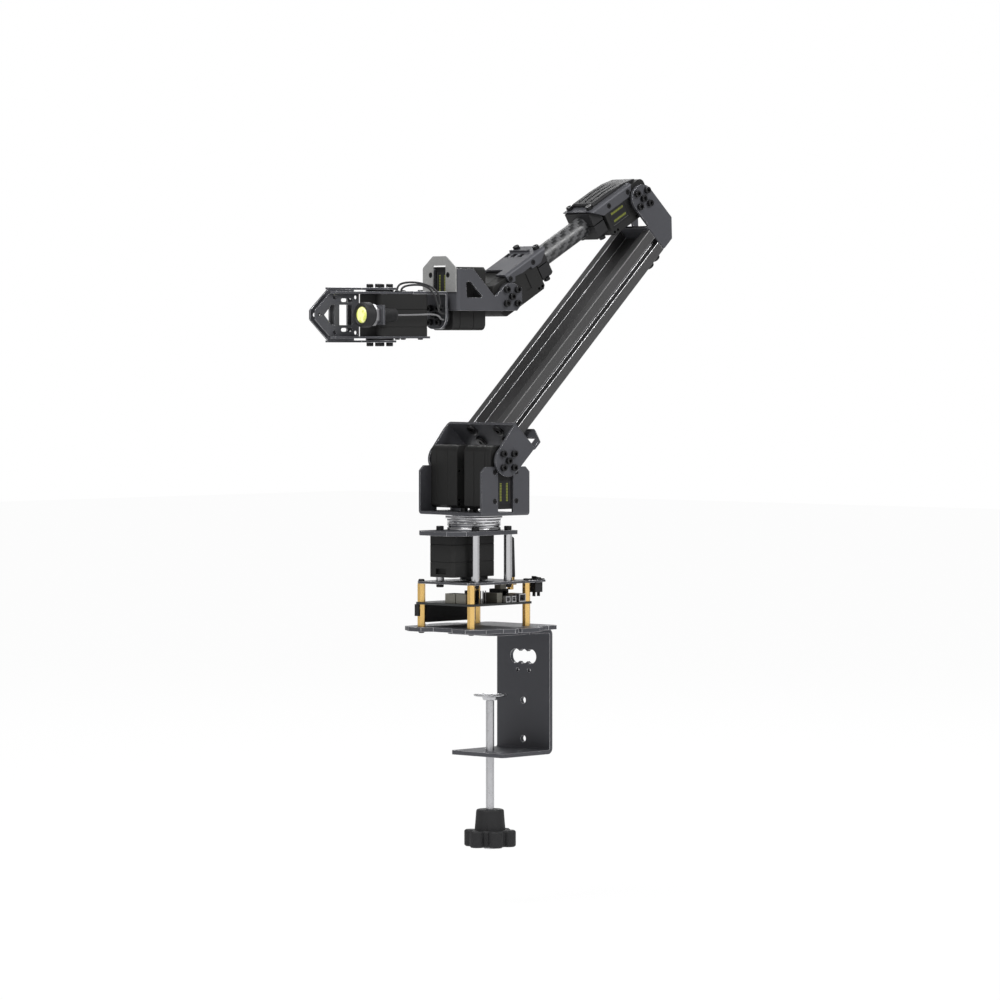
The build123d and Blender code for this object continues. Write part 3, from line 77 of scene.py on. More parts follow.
# %% Link frames
MM = 0.001
YAW, UPPER_TILT, FORE_DROP = (math.radians(a) for a in (-8.0, 44.8, 30.2))
SHOULDER_Z, UPPER_LEN, UPPER_OFFSET, FORE_LEN, ROLL_DROP = 125.8, 235.7, 32.0, 144.1, 13.7
CASE_T, GRIP_REACH, WEB_X = 29.9, 104.4, 49.9


def move(x, y, z):
    """Shift by millimetres inside a link's frame."""
    return Matrix.Translation(Vector((x, y, z)) * MM)


def pitch(angle):
    """Turn about a link's own y axis."""
    return Matrix.Rotation(angle, 4, "Y")


def facing(origin, x_dir, z_dir):
    """Frame at a point with its own x and z directions."""
    x, z = Vector(x_dir), Vector(z_dir)
    turn = Matrix((x, z.cross(x), z)).transposed().to_4x4()
    return move(*origin) @ turn


turn_frame = Matrix.Rotation(YAW, 4, "Z")
upper_frame = turn_frame @ move(0, 0, SHOULDER_Z) @ pitch(-UPPER_TILT)
fore_frame = upper_frame @ move(UPPER_OFFSET, 0, UPPER_LEN) @ pitch(UPPER_TILT + FORE_DROP)
hand_frame = fore_frame @ move(FORE_LEN, 0, 0) @ pitch(-FORE_DROP)
grip_centre = (hand_frame @ move(GRIP_REACH, 0, -ROLL_DROP)).translation
print("gripper centre:", [round(c, 4) for c in grip_centre])

# %% [markdown]
# ## Writing shader maths as sums
# A pattern is arithmetic on coordinates. Wiring Math nodes by hand hides it, so a small class
# wraps a socket and turns +, -, * and / into Math nodes. The formula then reads as a formula.

# %% A socket that does arithmetic
class Wire:
    """One output socket of a material's node tree."""

    def __init__(self, tree, socket):
        self.tree, self.socket = tree, socket

    def maths(self, operation, *others):
        made = self.tree.nodes.new("ShaderNodeMath")
        made.operation = operation
        for place, value in enumerate((self,) + others):
            plug_in(self.tree, made.inputs[place], value)
        return Wire(self.tree, made.outputs[0])

    def __add__(self, other):
        return self.maths("ADD", other)

    def __mul__(self, other):
        return self.maths("MULTIPLY", other)

    def __truediv__(self, other):
        return self.maths("DIVIDE", other)

    def __sub__(self, other):
        return self.maths("SUBTRACT", other)

    def __rsub__(self, other):
        return (self * -1.0) + other

    __radd__, __rmul__ = __add__, __mul__

    def above(self, level):
        return self.maths("GREATER_THAN", level)

    def below(self, level):
        return self.maths("LESS_THAN", level)

    def sine(self):
        return self.maths("SINE")

    def wrap(self, period):
        return self.maths("WRAP", period, 0.0)


def plug_in(tree, socket, value):
    """Link a wire to a socket, or set a plain value on it."""
    if isinstance(value, Wire):
        tree.links.new(value.socket, socket)
    else:
        socket.default_value = value


def add_node(tree, kind, settings=None, **inputs):
    """Add any other node: settings first, then the values or links of its sockets."""
    made = tree.nodes.new(kind)
    for name, value in (settings or {}).items():
        if name == "stops":
            while len(made.color_ramp.elements) < len(value):
                made.color_ramp.elements.new(0.5)
            for element, (place, level) in zip(made.color_ramp.elements, value):
                element.position, element.color = place, (level, level, level, 1)
        else:
            setattr(made, name, value)
    for name, value in inputs.items():
        plug_in(tree, made.inputs[name.replace("_", " ")], value)
    return made


def out(tree, made, name=0):
    """Wire from one output of a node."""
    return Wire(tree, made.outputs[name])


# %% [markdown]
# ## The base of every finish
# All finishes start from one Principled shader. What is the same all over is set on its
# sockets, and only what changes over the surface is wired in: a little roughness, a little
# colour and a very fine relief, because no real coating is quite even.

# %% One helper that starts a finish
def finish(name, colour, rough, metal=0.0, coat=0.0, coat_rough=0.1, specular=0.5):
    """New material with its tree, its shader and the object's own coordinates."""
    material = bpy.data.materials.new(name)
    material.use_nodes = True
    tree = material.node_tree
    shader = tree.nodes["Principled BSDF"]
    shader.inputs["Base Color"].default_value = (*colour, 1)
    shader.inputs["Roughness"].default_value = rough
    shader.inputs["Metallic"].default_value = metal
    shader.inputs["Coat Weight"].default_value = coat
    shader.inputs["Coat Roughness"].default_value = coat_rough
    shader.inputs["Specular IOR Level"].default_value = specular
    place = out(tree, tree.nodes.new("ShaderNodeTexCoord"), "Object")
    return material, tree, shader, place


def speckle(tree, place, scale, detail=3.0):
    """Noise between 0 and 1 with grains of about 1 / scale metres."""
    return out(tree, add_node(tree, "ShaderNodeTexNoise", Vector=place, Scale=scale, Detail=detail))


def uneven_finish(name, colour, rough, scale, spread=0.12, depth=0.00002, grain=2600.0,
                  haze=0.12, **shader_values):
    """Finish with soft patches in colour and roughness, and a fine relief."""
    material, tree, shader, place = finish(name, colour, rough, **shader_values)
    patch = speckle(tree, place, scale)
    shade = (patch - 0.5) * spread + 1.0
    tint = add_node(tree, "ShaderNodeVectorMath", {"operation": "SCALE"}, Scale=shade)
    tint.inputs[0].default_value = colour
    tree.links.new(tint.outputs[0], shader.inputs["Base Color"])
    plug_in(tree, shader.inputs["Roughness"], (patch - 0.5) * haze + rough)
    fine = speckle(tree, place, grain, 2.0)
    bump = add_node(tree, "ShaderNodeBump", Strength=0.35, Distance=depth, Height=fine)
    tree.links.new(bump.outputs[0], shader.inputs["Normal"])
    return material


# %% [markdown]
# ## Coated sheet, moulded cases and black screws
# The folded sheets are dark grey with a satin sheen: half way between paint and metal. The
# servo cases are moulded, blacker and duller. The screws are oxide black and shinier, so they
# stand out on the sheet.

# %% Dark finishes
SHEET_GREY = (0.070, 0.071, 0.079)
CASE_BLACK = (0.011, 0.011, 0.0108)

sheet_finish = uneven_finish("coated_sheet", SHEET_GREY, 0.46, 60.0, metal=0.3, specular=0.2)
# The narrow bevels of sheet and beam get a bright metal: partly the bare metal of a worn cut edge,
# partly a painted highlight along the edge.
edge_wear_and_highlight_finish = uneven_finish("worn_edge_and_painted_highlight", (0.85, 0.85, 0.87), 0.32, 420.0, metal=0.8, spread=1.0)
case_finish = uneven_finish("moulded_case", CASE_BLACK, 0.55, 90.0, specular=0.25, depth=0.00004,
                            grain=1800.0)
moulding_finish = uneven_finish("black_moulding", (0.012, 0.012, 0.013), 0.6, 120.0, specular=0.3,
                                depth=0.00005, grain=1500.0)
screw_finish = uneven_finish("black_oxide", (0.020, 0.020, 0.021), 0.34, 400.0, metal=0.7)
# The rims of the screws get a lighter metal than the heads: partly wear, partly a painted highlight
# round each rim.
rim_wear_and_highlight_finish = uneven_finish("screw_rim_wear_and_highlight", (0.16, 0.16, 0.165), 0.3, 500.0, metal=0.9, spread=0.8)
horn_finish = uneven_finish("horn_anodised", (0.024, 0.024, 0.026), 0.36, 200.0, metal=0.6)

# %% [markdown]
# ## Extruded aluminium
# The long beam is drawn through a die, which leaves faint lines along it. The lines are noise
# stretched along the beam: the coordinates are turned into the beam's frame, and the length
# is scaled down so that each grain becomes a streak.

# %% Extrusion with draw lines
BEAM_GREY = (0.088, 0.087, 0.088)
beam_finish, tree, shader, place = finish("drawn_extrusion", BEAM_GREY, 0.36, metal=0.6)
turned = add_node(tree, "ShaderNodeMapping", {"vector_type": "TEXTURE"}, Vector=place)
turned.inputs["Rotation"].default_value = upper_frame.to_euler()
streak_place = add_node(tree, "ShaderNodeVectorMath", {"operation": "MULTIPLY"})
tree.links.new(turned.outputs[0], streak_place.inputs[0])
streak_place.inputs[1].default_value = (1.0, 1.0, 0.02)
streak = speckle(tree, out(tree, streak_place), 2200.0, 2.0)
plug_in(tree, shader.inputs["Roughness"], (streak - 0.5) * 0.25 + 0.36)
bump = add_node(tree, "ShaderNodeBump", Strength=0.3, Distance=0.00002, Height=streak)
tree.links.new(bump.outputs[0], shader.inputs["Normal"])

# %% [markdown]
# ## Bright metals
# The posts are turned and polished, so they are almost mirrors. The turntable's races have
# rings cut round them, drawn as a sine of the height. The clamp's screw and pad are zinc
# plated, which is duller. The standoffs and the antenna's socket are plain brass.

# %% Polished steel, zinc and brass
STEEL = (0.66, 0.66, 0.675)
polish_finish = uneven_finish("polished_steel", STEEL, 0.16, 90.0, metal=1.0, spread=0.05,
                              depth=0.000001, haze=0.03)

race_finish, tree, shader, place = finish("turned_rings", STEEL, 0.16, metal=1.0)
height = out(tree, add_node(tree, "ShaderNodeSeparateXYZ", Vector=place), "Z")
RING_PITCH = 2.1 * MM
ring = (height * (2 * math.pi / RING_PITCH)).sine()
tint = add_node(tree, "ShaderNodeVectorMath", {"operation": "SCALE"}, Scale=ring * 0.18 + 0.9)
tint.inputs[0].default_value = STEEL
tree.links.new(tint.outputs[0], shader.inputs["Base Color"])
bump = add_node(tree, "ShaderNodeBump", Strength=0.5, Distance=0.0003, Height=ring)
tree.links.new(bump.outputs[0], shader.inputs["Normal"])

zinc_finish = uneven_finish("zinc_plate", (0.47, 0.47, 0.485), 0.28, 300.0, metal=1.0, spread=0.2,
                            depth=0.000004, haze=0.05)
brass_finish = uneven_finish("plain_brass", (0.88, 0.58, 0.21), 0.24, 120.0, metal=0.95,
                             spread=0.06, depth=0.000001, haze=0.03)
# The roll servo's plate is light grey, far paler than the sheet around it: a painted reflection of the
# key light on that face.
pale_plate_painted_reflection_finish = uneven_finish("pale_plate_painted_reflection", (0.33, 0.33, 0.325), 0.5, 1100.0, metal=0.5,
                             spread=0.6, depth=0.00004, grain=3000.0)
port_finish = uneven_finish("tinned_shell", (0.45, 0.45, 0.46), 0.3, 500.0, metal=0.9)

# %% [markdown]
# ## The driver board and its parts
# A board is fibre and resin under a dark mask, with fine tracks just under the surface. Two
# wrapped coordinates draw the tracks as thin raised lines of a slightly different colour.

# %% Board, connectors and lamp
MASK_DARK, TRACK_GREEN = (0.008, 0.009, 0.010), (0.020, 0.026, 0.022)
TRACK_PITCH, TRACK_WIDTH, ROW_PITCH, ROW_GAP = 0.0021, 0.0004, 0.0093, 0.0031
board_finish, tree, shader, place = finish("board_mask", MASK_DARK, 0.3, coat=0.3)
axes = add_node(tree, "ShaderNodeSeparateXYZ", Vector=place)
lines = out(tree, axes, "Y").wrap(TRACK_PITCH).below(TRACK_WIDTH)
rows = out(tree, axes, "X").wrap(ROW_PITCH).above(ROW_GAP)
track = lines * rows
mix = add_node(tree, "ShaderNodeMix", {"data_type": "RGBA"})
plug_in(tree, mix.inputs[0], track)
mix.inputs[6].default_value = (*MASK_DARK, 1)
mix.inputs[7].default_value = (*TRACK_GREEN, 1)
tree.links.new(mix.outputs[2], shader.inputs["Base Color"])
bump = add_node(tree, "ShaderNodeBump", Strength=0.4, Distance=0.00003, Height=track)
tree.links.new(bump.outputs[0], shader.inputs["Normal"])

grey_finish = uneven_finish("connector_grey", (0.115, 0.110, 0.092), 0.5, 300.0)

lens_finish, tree, shader, place = finish("phosphor_lens", (0.82, 0.84, 0.16), 0.22, coat=0.8,
                                          coat_rough=0.05)
facets = speckle(tree, place, 260.0, 1.0)
glow = add_node(tree, "ShaderNodeMix", {"data_type": "RGBA"})
spots = add_node(tree, "ShaderNodeValToRGB", {"stops": ((0.40, 0.0), (0.60, 1.0))}, Fac=facets)
plug_in(tree, glow.inputs[0], out(tree, spots))
glow.inputs[6].default_value = (0.55, 0.60, 0.08, 1)
glow.inputs[7].default_value = (0.93, 0.92, 0.45, 1)
tree.links.new(glow.outputs[2], shader.inputs["Base Color"])
shader.inputs["Emission Color"].default_value = (0.9, 0.95, 0.25, 1)
shader.inputs["Emission Strength"].default_value = 0.25

# %% [markdown]
# ## Carbon twill
# The tube is woven: each tow passes over two and under two, and every row is shifted by one,
# which draws the diagonal. Along the tube the coordinate is a length, around it an angle
# times the radius. The sum of both, wrapped at four tows, says which tow is on top.

# %% Woven tube
TUBE_R, TOW, TUBE_RISE = 0.0075, 0.0024, 2.9
TOW_DARK, TOW_LIGHT = (0.009, 0.0095, 0.010), (0.080, 0.081, 0.084)
carbon_finish, tree, shader, place = finish("carbon_twill", (0.03, 0.031, 0.033), 0.42, coat=0.2,
                                            coat_rough=0.3)
tube_frame = fore_frame @ move(0, 0, TUBE_RISE)
turned = add_node(tree, "ShaderNodeMapping", {"vector_type": "TEXTURE"}, Vector=place)
turned.inputs["Location"].default_value = tube_frame.translation
turned.inputs["Rotation"].default_value = tube_frame.to_euler()
axes = add_node(tree, "ShaderNodeSeparateXYZ", Vector=out(tree, turned))
along = out(tree, axes, "X") / TOW
round_tube = out(tree, axes, "Z").maths("ARCTAN2", out(tree, axes, "Y")) * (TUBE_R / TOW)
over = (along.maths("FLOOR") + round_tube.maths("FLOOR")).wrap(4.0).below(1.5)
long_rib, round_rib = (along * 2 * math.pi).sine(), (round_tube * 2 * math.pi).sine()
ribs = (long_rib * over + round_rib * (1 - over)) * 0.5 + 0.5
mix = add_node(tree, "ShaderNodeMix", {"data_type": "RGBA"})
plug_in(tree, mix.inputs[0], over * 0.7 + ribs * 0.3)
mix.inputs[6].default_value = (*TOW_DARK, 1)
mix.inputs[7].default_value = (*TOW_LIGHT, 1)
tree.links.new(mix.outputs[2], shader.inputs["Base Color"])
plug_in(tree, shader.inputs["Roughness"], over * 0.16 + 0.3)
bump = add_node(tree, "ShaderNodeBump", Strength=0.5, Distance=0.00006, Height=ribs)
tree.links.new(bump.outputs[0], shader.inputs["Normal"])

# %% [markdown]
# ## Giving each solid its finish
# A solid already has a material slot from the record. The finish goes into that slot. A
# perfectly sharp edge never catches light, so every piece also gets a narrow bevel: the
# triangles are welded, flat areas are joined, and edges steeper than 35 degrees are rounded.
# On sheet, beam and screws the bevel gets a brighter metal: partly the bare metal of a worn edge,
# partly a painted highlight.

# %% Finishes by solid
finish_of = {
    "dark_metal": sheet_finish, "case_black": case_finish, "soft_black": moulding_finish,
    "screw_black": screw_finish, "horn_metal": horn_finish, "polished": polish_finish,
    "zinc": zinc_finish, "brass": brass_finish, "board": board_finish, "can_grey": grey_finish,
    "port_metal": port_finish, "carbon": carbon_finish, "light_plate": pale_plate_painted_reflection_finish,
    "lens": lens_finish, "extrusion": beam_finish,
}
edge_wear_and_highlight_of = {"dark_metal": edge_wear_and_highlight_finish, "extrusion": edge_wear_and_highlight_finish, "screw_black": rim_wear_and_highlight_finish}
own_finish = {"lower_race": race_finish, "upper_race": race_finish}
slot_of = {part["node"]: part["material_slot"] for part in frame["record"]["subparts"]}
BEVELLED = {
    "dark_metal": 0.42, "case_black": 0.25, "soft_black": 0.25, "extrusion": 0.22,
    "light_plate": 0.15, "can_grey": 0.2, "brass": 0.2, "screw_black": 0.14,
}
PLAIN_BEVEL, WELD_GAP = 0.08, 0.000002
FLAT_WITHIN, EDGE_ABOVE = math.radians(0.5), math.radians(35)
for name, solid in nodes.items():
    solid.data.materials.clear()
    solid.data.materials.append(own_finish.get(name, finish_of[slot_of[name]]))
    solid.data.polygons.foreach_set("use_smooth", [True] * len(solid.data.polygons))
    weld = solid.modifiers.new("weld", "WELD")
    weld.merge_threshold = WELD_GAP
    width = BEVELLED.get(slot_of[name], PLAIN_BEVEL)
    flat = solid.modifiers.new("flat", "DECIMATE")
    flat.decimate_type, flat.angle_limit = "DISSOLVE", FLAT_WITHIN
    edge = solid.modifiers.new("edge", "BEVEL")
    edge.width, edge.segments, edge.limit_method = width * MM, 2, "ANGLE"
    edge.angle_limit, edge.use_clamp_overlap = EDGE_ABOVE, name != "arm_extrusion"
    # Brighter metal on the bevel faces: worn edge and painted highlight.
    if slot_of[name] in edge_wear_and_highlight_of and name not in ("elbow_cover", "wrist_cover"):
        solid.data.materials.append(edge_wear_and_highlight_of[slot_of[name]])
        edge.material = 1
    even = solid.modifiers.new("even", "WEIGHTED_NORMAL")
    even.mode, even.weight, even.keep_sharp = "FACE_AREA", 100, False
print("finished solids:", len(nodes))

# %% [markdown]
# ## The threaded clamp screw
# A thread is a groove that climbs as it goes round. A cylinder is cut into four rows per
# pitch, and each point is pushed in by a depth that follows its height minus its angle: one
# whole turn of the angle is one pitch of the height. The plain solid stays in the model for
# its collision, and this piece takes its place in the looks.

# %% Thread on the clamp screw
ROWS_PER_PITCH, PLAIN_END = 4, 0.2


def clear_selection():
    """Nothing selected, so that an operator acts only on what comes next."""
    if bpy.context.mode != "OBJECT":
        bpy.ops.object.mode_set(mode="OBJECT")
    bpy.ops.object.select_all(action="DESELECT")


def settle(piece, place, material, body):
    """Apply a piece's place, give it its finish and let it ride on its body."""
    clear_selection()
    piece.matrix_world = place @ piece.matrix_world
    piece.select_set(True)
    bpy.context.view_layer.objects.active = piece
    bpy.ops.object.transform_apply(location=True, rotation=True, scale=True)
    piece.data.materials.clear()
    piece.data.materials.append(material)
    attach(piece, body)
    return piece


def threaded_rod(name, radius, depth, pitch_mm, bottom, top):
    """Rod on the z axis with a thread from bottom to top, in millimetres."""
    clear_selection()
    bpy.ops.mesh.primitive_cylinder_add(vertices=40, radius=radius * MM, depth=(top - bottom) * MM,
                                        location=(0, 0, (top + bottom) / 2 * MM),
                                        end_fill_type="NGON")
    rod = bpy.context.object
    rod.name = name
    bpy.ops.object.mode_set(mode="EDIT")
    bpy.ops.mesh.select_all(action="SELECT")
    rows = int((top - bottom) / pitch_mm * ROWS_PER_PITCH)
    mesh = bmesh.from_edit_mesh(rod.data)
    for step in range(1, rows):
        level = (bottom + (top - bottom) * step / rows) * MM
        bmesh.ops.bisect_plane(mesh, geom=mesh.verts[:] + mesh.edges[:] + mesh.faces[:],
                               plane_co=(0, 0, level), plane_no=(0, 0, 1))
    for vertex in mesh.verts:
        height = vertex.co.z / MM
        flat = Vector((vertex.co.x, vertex.co.y, 0))
        in_middle = flat.length < radius * 0.5 * MM
        if in_middle or not bottom + PLAIN_END < height < top - PLAIN_END:
            continue
        angle = math.atan2(vertex.co.y, vertex.co.x) / (2 * math.pi)
        phase = (height / pitch_mm - angle) % 1.0
        cut = depth * (1 - abs(phase * 2 - 1))
        vertex.co.x *= 1 - cut / radius
        vertex.co.y *= 1 - cut / radius
    bmesh.update_edit_mesh(rod.data)
    bpy.ops.object.mode_set(mode="OBJECT")
    bpy.ops.object.shade_smooth_by_angle(angle=math.radians(50))
    return rod


low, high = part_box("clamp_screw")
SCREW_AT = ((low[0] + high[0]) / 2 / MM, (low[1] + high[1]) / 2 / MM)
KNOB_TOP, KNOB_LOW, PAD_LOW = -127.0, -154.0, -48.5
ROD_R, NECK_R, CAP_R = 3.0, 2.3, 4.5
THREAD_DEEP, THREAD_PITCH = 0.6, 1.0
NECK_TOP, ROD_END, CAP_END = -45.95, -155.5, -155.6
rod = threaded_rod("clamp_thread", ROD_R, THREAD_DEEP, THREAD_PITCH, KNOB_TOP + 0.1, PAD_LOW)
bpy.ops.object.select_all(action="DESELECT")
parts = [rod]
for radius, bottom, top in ((NECK_R, PAD_LOW, NECK_TOP), (ROD_R, ROD_END, KNOB_TOP + 0.1),
                            (CAP_R, CAP_END, KNOB_LOW - 0.05)):
    bpy.ops.mesh.primitive_cylinder_add(vertices=40, radius=radius * MM, depth=(top - bottom) * MM,
                                        location=(0, 0, (top + bottom) / 2 * MM))
    parts.append(bpy.context.object)
    bpy.ops.object.shade_smooth_by_angle(angle=math.radians(40))
clear_selection()
for piece in parts:
    piece.select_set(True)
bpy.context.view_layer.objects.active = rod
bpy.ops.object.join()
clamp_thread = settle(bpy.context.object, move(*SCREW_AT, 0), zinc_finish, "screw")
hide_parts("clamp_screw")
print("thread faces:", len(clamp_thread.data.polygons))

# %% [markdown]
# ## Rating panels
# Each servo has a printed panel on one face. Here it is a thin plate with plain bars in the
# yellow-green of the real print, and no words. The plate starts as a grid, is given its
# thickness by an extrusion, and lies in the shallow recess of the case.

# %% Panels with plain bars
PANEL_INK, PANEL_DARK = (0.20, 0.22, 0.035, 1), (0.012, 0.012, 0.013, 1)
RULE_GREY = (0.10, 0.10, 0.095, 1)
PANEL_ALONG, PANEL_SUNK = 22.7, 0.3
PANEL_LONG, PANEL_WIDE, PANEL_THICK = 17.0, 13.6, 0.15


def panel_finish(name, panel_frame):
    """Dark panel with two columns of short bars, drawn in the panel's own frame."""
    material, tree, shader, place = finish(name, PANEL_DARK[:3], 0.34, specular=0.3)
    local = add_node(tree, "ShaderNodeMapping", {"vector_type": "TEXTURE"}, Vector=place)
    local.inputs["Location"].default_value = panel_frame.translation
    local.inputs["Rotation"].default_value = panel_frame.to_euler()
    axes = add_node(tree, "ShaderNodeSeparateXYZ", Vector=out(tree, local))
    x, y = out(tree, axes, "X") / MM, out(tree, axes, "Y") / MM
    inside = x.maths("ABSOLUTE").below(6.6)
    columns = (y.maths("ABSOLUTE") - 2.9).maths("ABSOLUTE").below(0.85)
    bars = x.wrap(1.1).below(0.62) * columns * inside
    edge_lines = (y.maths("ABSOLUTE") - 5.6).maths("ABSOLUTE").below(0.12)
    rules = edge_lines * x.maths("ABSOLUTE").below(8.0)
    printed = add_node(tree, "ShaderNodeMix", {"data_type": "RGBA"})
    plug_in(tree, printed.inputs[0], bars)
    printed.inputs[6].default_value = PANEL_DARK
    printed.inputs[7].default_value = PANEL_INK
    ruled = add_node(tree, "ShaderNodeMix", {"data_type": "RGBA"})
    plug_in(tree, ruled.inputs[0], rules)
    tree.links.new(printed.outputs[2], ruled.inputs[6])
    ruled.inputs[7].default_value = RULE_GREY
    tree.links.new(ruled.outputs[2], shader.inputs["Base Color"])
    return material


def rating_panel(name, servo_frame, body):
    """Thin panel in the recess on a servo's front face."""
    spot = servo_frame @ move(PANEL_ALONG, 0, CASE_T / 2 - PANEL_SUNK)
    clear_selection()
    bpy.ops.mesh.primitive_grid_add(x_subdivisions=4, y_subdivisions=4, size=1)
    piece = bpy.context.object
    piece.name = name
    piece.scale = (PANEL_LONG * MM, PANEL_WIDE * MM, 1)
    bpy.ops.object.transform_apply(location=False, rotation=False, scale=True)
    bpy.ops.object.mode_set(mode="EDIT")
    bpy.ops.mesh.select_all(action="SELECT")
    bpy.ops.mesh.extrude_region_move(TRANSFORM_OT_translate={"value": (0, 0, PANEL_THICK * MM)})
    bpy.ops.mesh.select_all(action="SELECT")
    bpy.ops.mesh.normals_make_consistent(inside=False)
    bpy.ops.object.mode_set(mode="OBJECT")
    return settle(piece, spot, panel_finish(name + "_print", spot), body)


SERVO_GAP, SHEET_T = 8.4, 2
side_gap = SERVO_GAP / 2 + CASE_T / 2
left_servo = facing((0, side_gap, SHOULDER_Z), (0, 0, -1), (0, 1, 0))
right_servo = facing((0, -side_gap, SHOULDER_Z), (0, 0, -1), (0, -1, 0))
elbow_servo = facing((0, 0, 0), (1, 0, 0), (0, 1, 0))
wrist_servo = facing((FORE_LEN, 0, 0), (-1, 0, 0), (0, -1, 0))
roll_servo = facing((WEB_X - SHEET_T - CASE_T / 2, 0, -ROLL_DROP), (0, 0, 1), (1, 0, 0))
panels = [
    ("panel_shoulder_left", turn_frame @ left_servo, "turret"),
    ("panel_shoulder_right", turn_frame @ right_servo, "turret"),
    ("panel_elbow", fore_frame @ elbow_servo, "forearm"),
    ("panel_wrist", fore_frame @ wrist_servo, "forearm"),
    ("panel_roll", hand_frame @ roll_servo, "wrist"),
]
for name, servo_frame, body in panels:
    rating_panel(name, servo_frame, body)
print("panels:", len(panels))

# %% [markdown]
# ## Cables
# The two servo cables loop over the hand and the lamp's wire runs beside the gripper. A cord
# is one smooth curve with a round bevel. Its control points are the same as in the solid
# model, so it leaves and enters the hand at the same places. The bevel is half the diameter
# in millimetres and each point's radius scales it to metres, because Blender adds that radius
# to the curve's bounding box.

# %% Cables and the lamp's wire
cable_finish, tree, shader, place = finish("cable_jacket", (0.012, 0.012, 0.013), 0.38)
wire_finish, tree, shader, place = finish("wire_jacket", (0.16, 0.16, 0.165), 0.4)
TOP = CASE_T / 2 - ROLL_DROP
PLATE_FRONT = 54.4
routes = {
    "servo_cable_a": (1.5, cable_finish, "soft_black", [
        (90.5, 2.0, TOP + 1.5), (90.5, 2.0, 7.2), (84.5, 4.0, 9.8), (74.0, 9.0, 9.4),
        (66.0, 16.8, 4.4), (62.0, 15.6, -4.6), (58.2, 10.2, -8.8), (PLATE_FRONT, 10.2, -8.8)]),
    "servo_cable_b": (1.5, cable_finish, "soft_black", [
        (87.2, 2.5, TOP + 1.5), (87.2, 2.5, 6.0), (80.0, 5.0, 8.0), (72.5, 11.5, 7.6),
        (68.0, 17.0, 1.6), (64.0, 15.6, -8.0), (58.6, 11.2, -12.6), (PLATE_FRONT, 11.2, -12.6)]),
    "lamp_lead": (1.2, wire_finish, "zinc", [
        (105.5, 18.0, -ROLL_DROP), (88.0, 18.0, -ROLL_DROP), (70.0, 17.2, -12.8),
        (62.4, 15.4, -14.4), (57.4, 10.2, -16.8), (PLATE_FRONT, 10.2, -16.8)]),
}


def cord_length(curve_object):
    """Length along a curve, read from its own points with the bevel off."""
    bevel = curve_object.data.bevel_depth
    curve_object.data.bevel_depth = 0
    line = bpy.data.meshes.new_from_object(curve_object)
    curve_object.data.bevel_depth = bevel
    ends = [[line.vertices[index].co for index in edge.vertices] for edge in line.edges]
    return sum((start - end).length for start, end in ends)


cords = {}
for name, (diameter, material, slot, points) in routes.items():
    curve = bpy.data.curves.new(name, "CURVE")
    curve.dimensions, curve.resolution_u = "3D", 12
    curve.bevel_depth, curve.bevel_resolution, curve.use_fill_caps = diameter / 2, 4, True
    spline = curve.splines.new("NURBS")
    spline.points.add(len(points) - 1)
    for control, point in zip(spline.points, points):
        control.co = (*(hand_frame @ (Vector(point) * MM)), 1)
        control.radius = MM
    spline.order_u, spline.use_endpoint_u = 3, True
    piece = bpy.data.objects.new(name, curve)
    bpy.context.scene.collection.objects.link(piece)
    curve.materials.append(material)
    bpy.context.view_layer.update()
    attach(piece, "hand")
    hand_frame @ (Vector(points[0]) * MM)
    cord_length(piece)
    diameter * MM
    "taut" if name == "lamp_lead" else "loose"
    cords[name] = piece
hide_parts("servo_cables")
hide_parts("lamp_wire")
print("cords:", {n: round(cord_length(c), 4) for n, c in cords.items()})

# %% [markdown]
# ## The studio
# The floor lies below the knob's lowest place, because the arm hangs on a table's edge.
# A pale floor, a white surround and large soft lamps, as for a catalogue. The surround lights
# the object gently but shows white to the camera. Polished metal mirrors it: bright towards the
# camera and darker at the sides, as between two flags, so that a round post shows its shape.

# %% Floor, surround and lamps
SCREW_DROP = 0.040
TO_CAMERA = (0.7339, 0.6792, 0.0)
floor_level = cad_box[0][2] - SCREW_DROP
clear_selection()
bpy.ops.mesh.primitive_plane_add(size=14, location=(0, 0, floor_level))
floor = bpy.context.object
floor.name = "floor"
floor_finish, tree, shader, place = finish("studio_floor", (0.93, 0.93, 0.93), 0.9, specular=0.0)
rays = tree.nodes.new("ShaderNodeLightPath")
white = add_node(tree, "ShaderNodeEmission")
white.inputs["Color"].default_value = (1, 1, 1, 1)
blend = add_node(tree, "ShaderNodeMixShader")
by_camera, by_mirror = out(tree, rays, "Is Camera Ray") * 0.96, out(tree, rays, "Is Glossy Ray") * 0.45
seen = by_camera.maths("MAXIMUM", by_mirror)
plug_in(tree, blend.inputs[0], seen)
tree.links.new(shader.outputs[0], blend.inputs[1])
tree.links.new(white.outputs[0], blend.inputs[2])
tree.links.new(blend.outputs[0], tree.nodes["Material Output"].inputs["Surface"])
floor.data.materials.append(floor_finish)

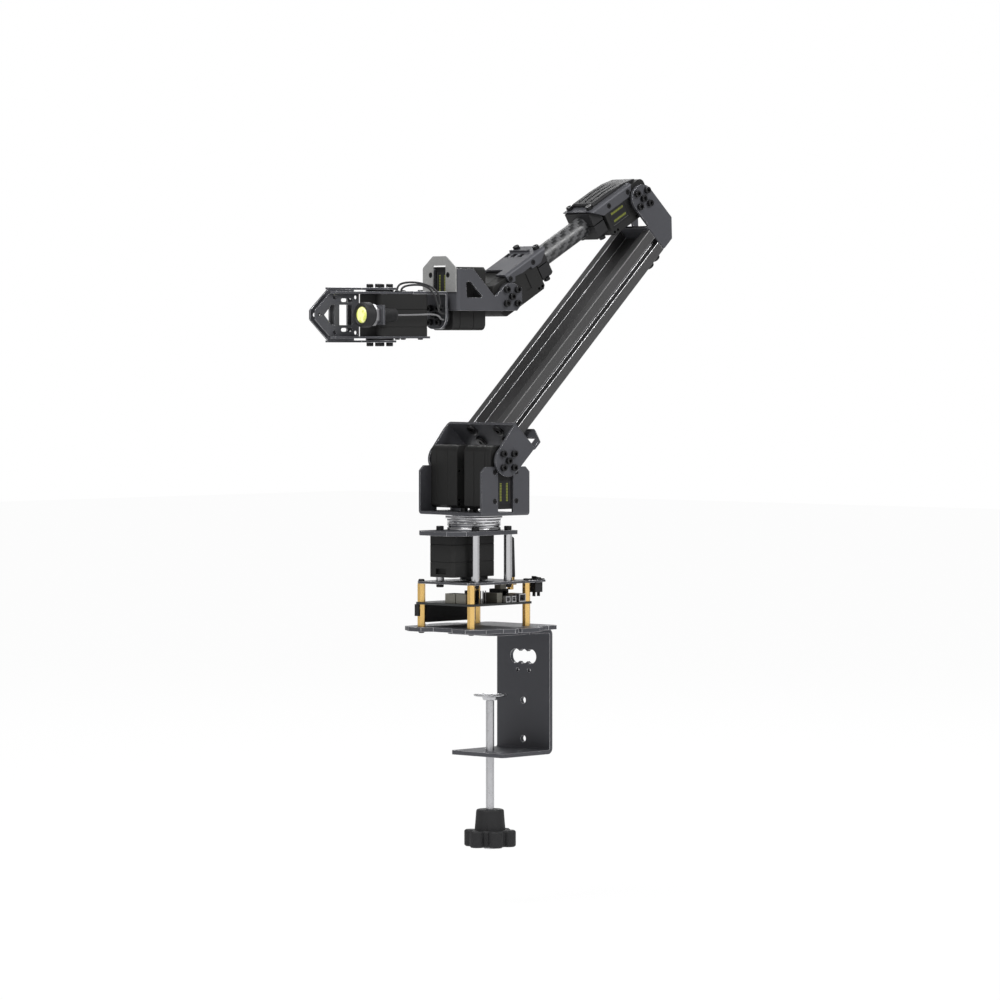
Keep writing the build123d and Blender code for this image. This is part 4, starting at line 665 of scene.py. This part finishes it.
world = bpy.data.worlds.new("studio")
bpy.context.scene.world = world
world.use_nodes = True
tree = world.node_tree
rays = tree.nodes.new("ShaderNodeLightPath")
shown = out(tree, rays, "Is Camera Ray").maths("MAXIMUM", out(tree, rays, "Is Transmission Ray"))
sky = add_node(tree, "ShaderNodeVectorMath", {"operation": "DOT_PRODUCT"})
tree.links.new(tree.nodes.new("ShaderNodeTexCoord").outputs["Generated"], sky.inputs[0])
sky.inputs[1].default_value = TO_CAMERA
softbox = (out(tree, sky, "Value") * 1.5).maths("MINIMUM", 1.0).maths("MAXIMUM", 0.22)
mirrored = out(tree, rays, "Is Glossy Ray") * softbox
gentle = (1 - out(tree, rays, "Is Glossy Ray")) * 0.4
plug_in(tree, tree.nodes["Background"].inputs["Strength"], shown.maths("MAXIMUM", mirrored + gentle))
tree.nodes["Background"].inputs["Color"].default_value = (1, 1, 1, 1)


def soft_lamp(name, location, size, watts, target=(0.0, 0.0, 0.15)):
    """Square area lamp that looks at the arm."""
    data = bpy.data.lights.new(name, "AREA")
    data.size, data.energy = size, watts
    lamp = bpy.data.objects.new(name, data)
    lamp.location = location
    lamp.rotation_euler = (Vector(target) - Vector(location)).to_track_quat("-Z", "Y").to_euler()
    bpy.context.scene.collection.objects.link(lamp)
    return lamp


soft_lamp("key", (0.9, -0.1, 1.5), 0.9, 24)
soft_lamp("side", (-0.3, 1.25, 1.15), 0.7, 15, (0.0, 0.0, 0.32))
soft_lamp("rim", (-1.3, -1.0, 1.3), 0.9, 16)

# %% Camera of the photograph
LENS_MM, SENSOR_MM = 176.3, 36.0
CAMERA_AT = Vector((2.5701, 2.4041, 0.2103))
CAMERA_ALONG = Vector((-0.73355, -0.67888, -0.03221))
camera_data = bpy.data.cameras.new("photo")
camera_data.lens, camera_data.sensor_width = LENS_MM, SENSOR_MM
camera = bpy.data.objects.new("photo", camera_data)
camera.location = CAMERA_AT
camera.rotation_euler = CAMERA_ALONG.to_track_quat("-Z", "Y").to_euler()
bpy.context.scene.collection.objects.link(camera)
bpy.context.scene.camera = camera
bpy.context.scene.view_settings.view_transform = "Standard"
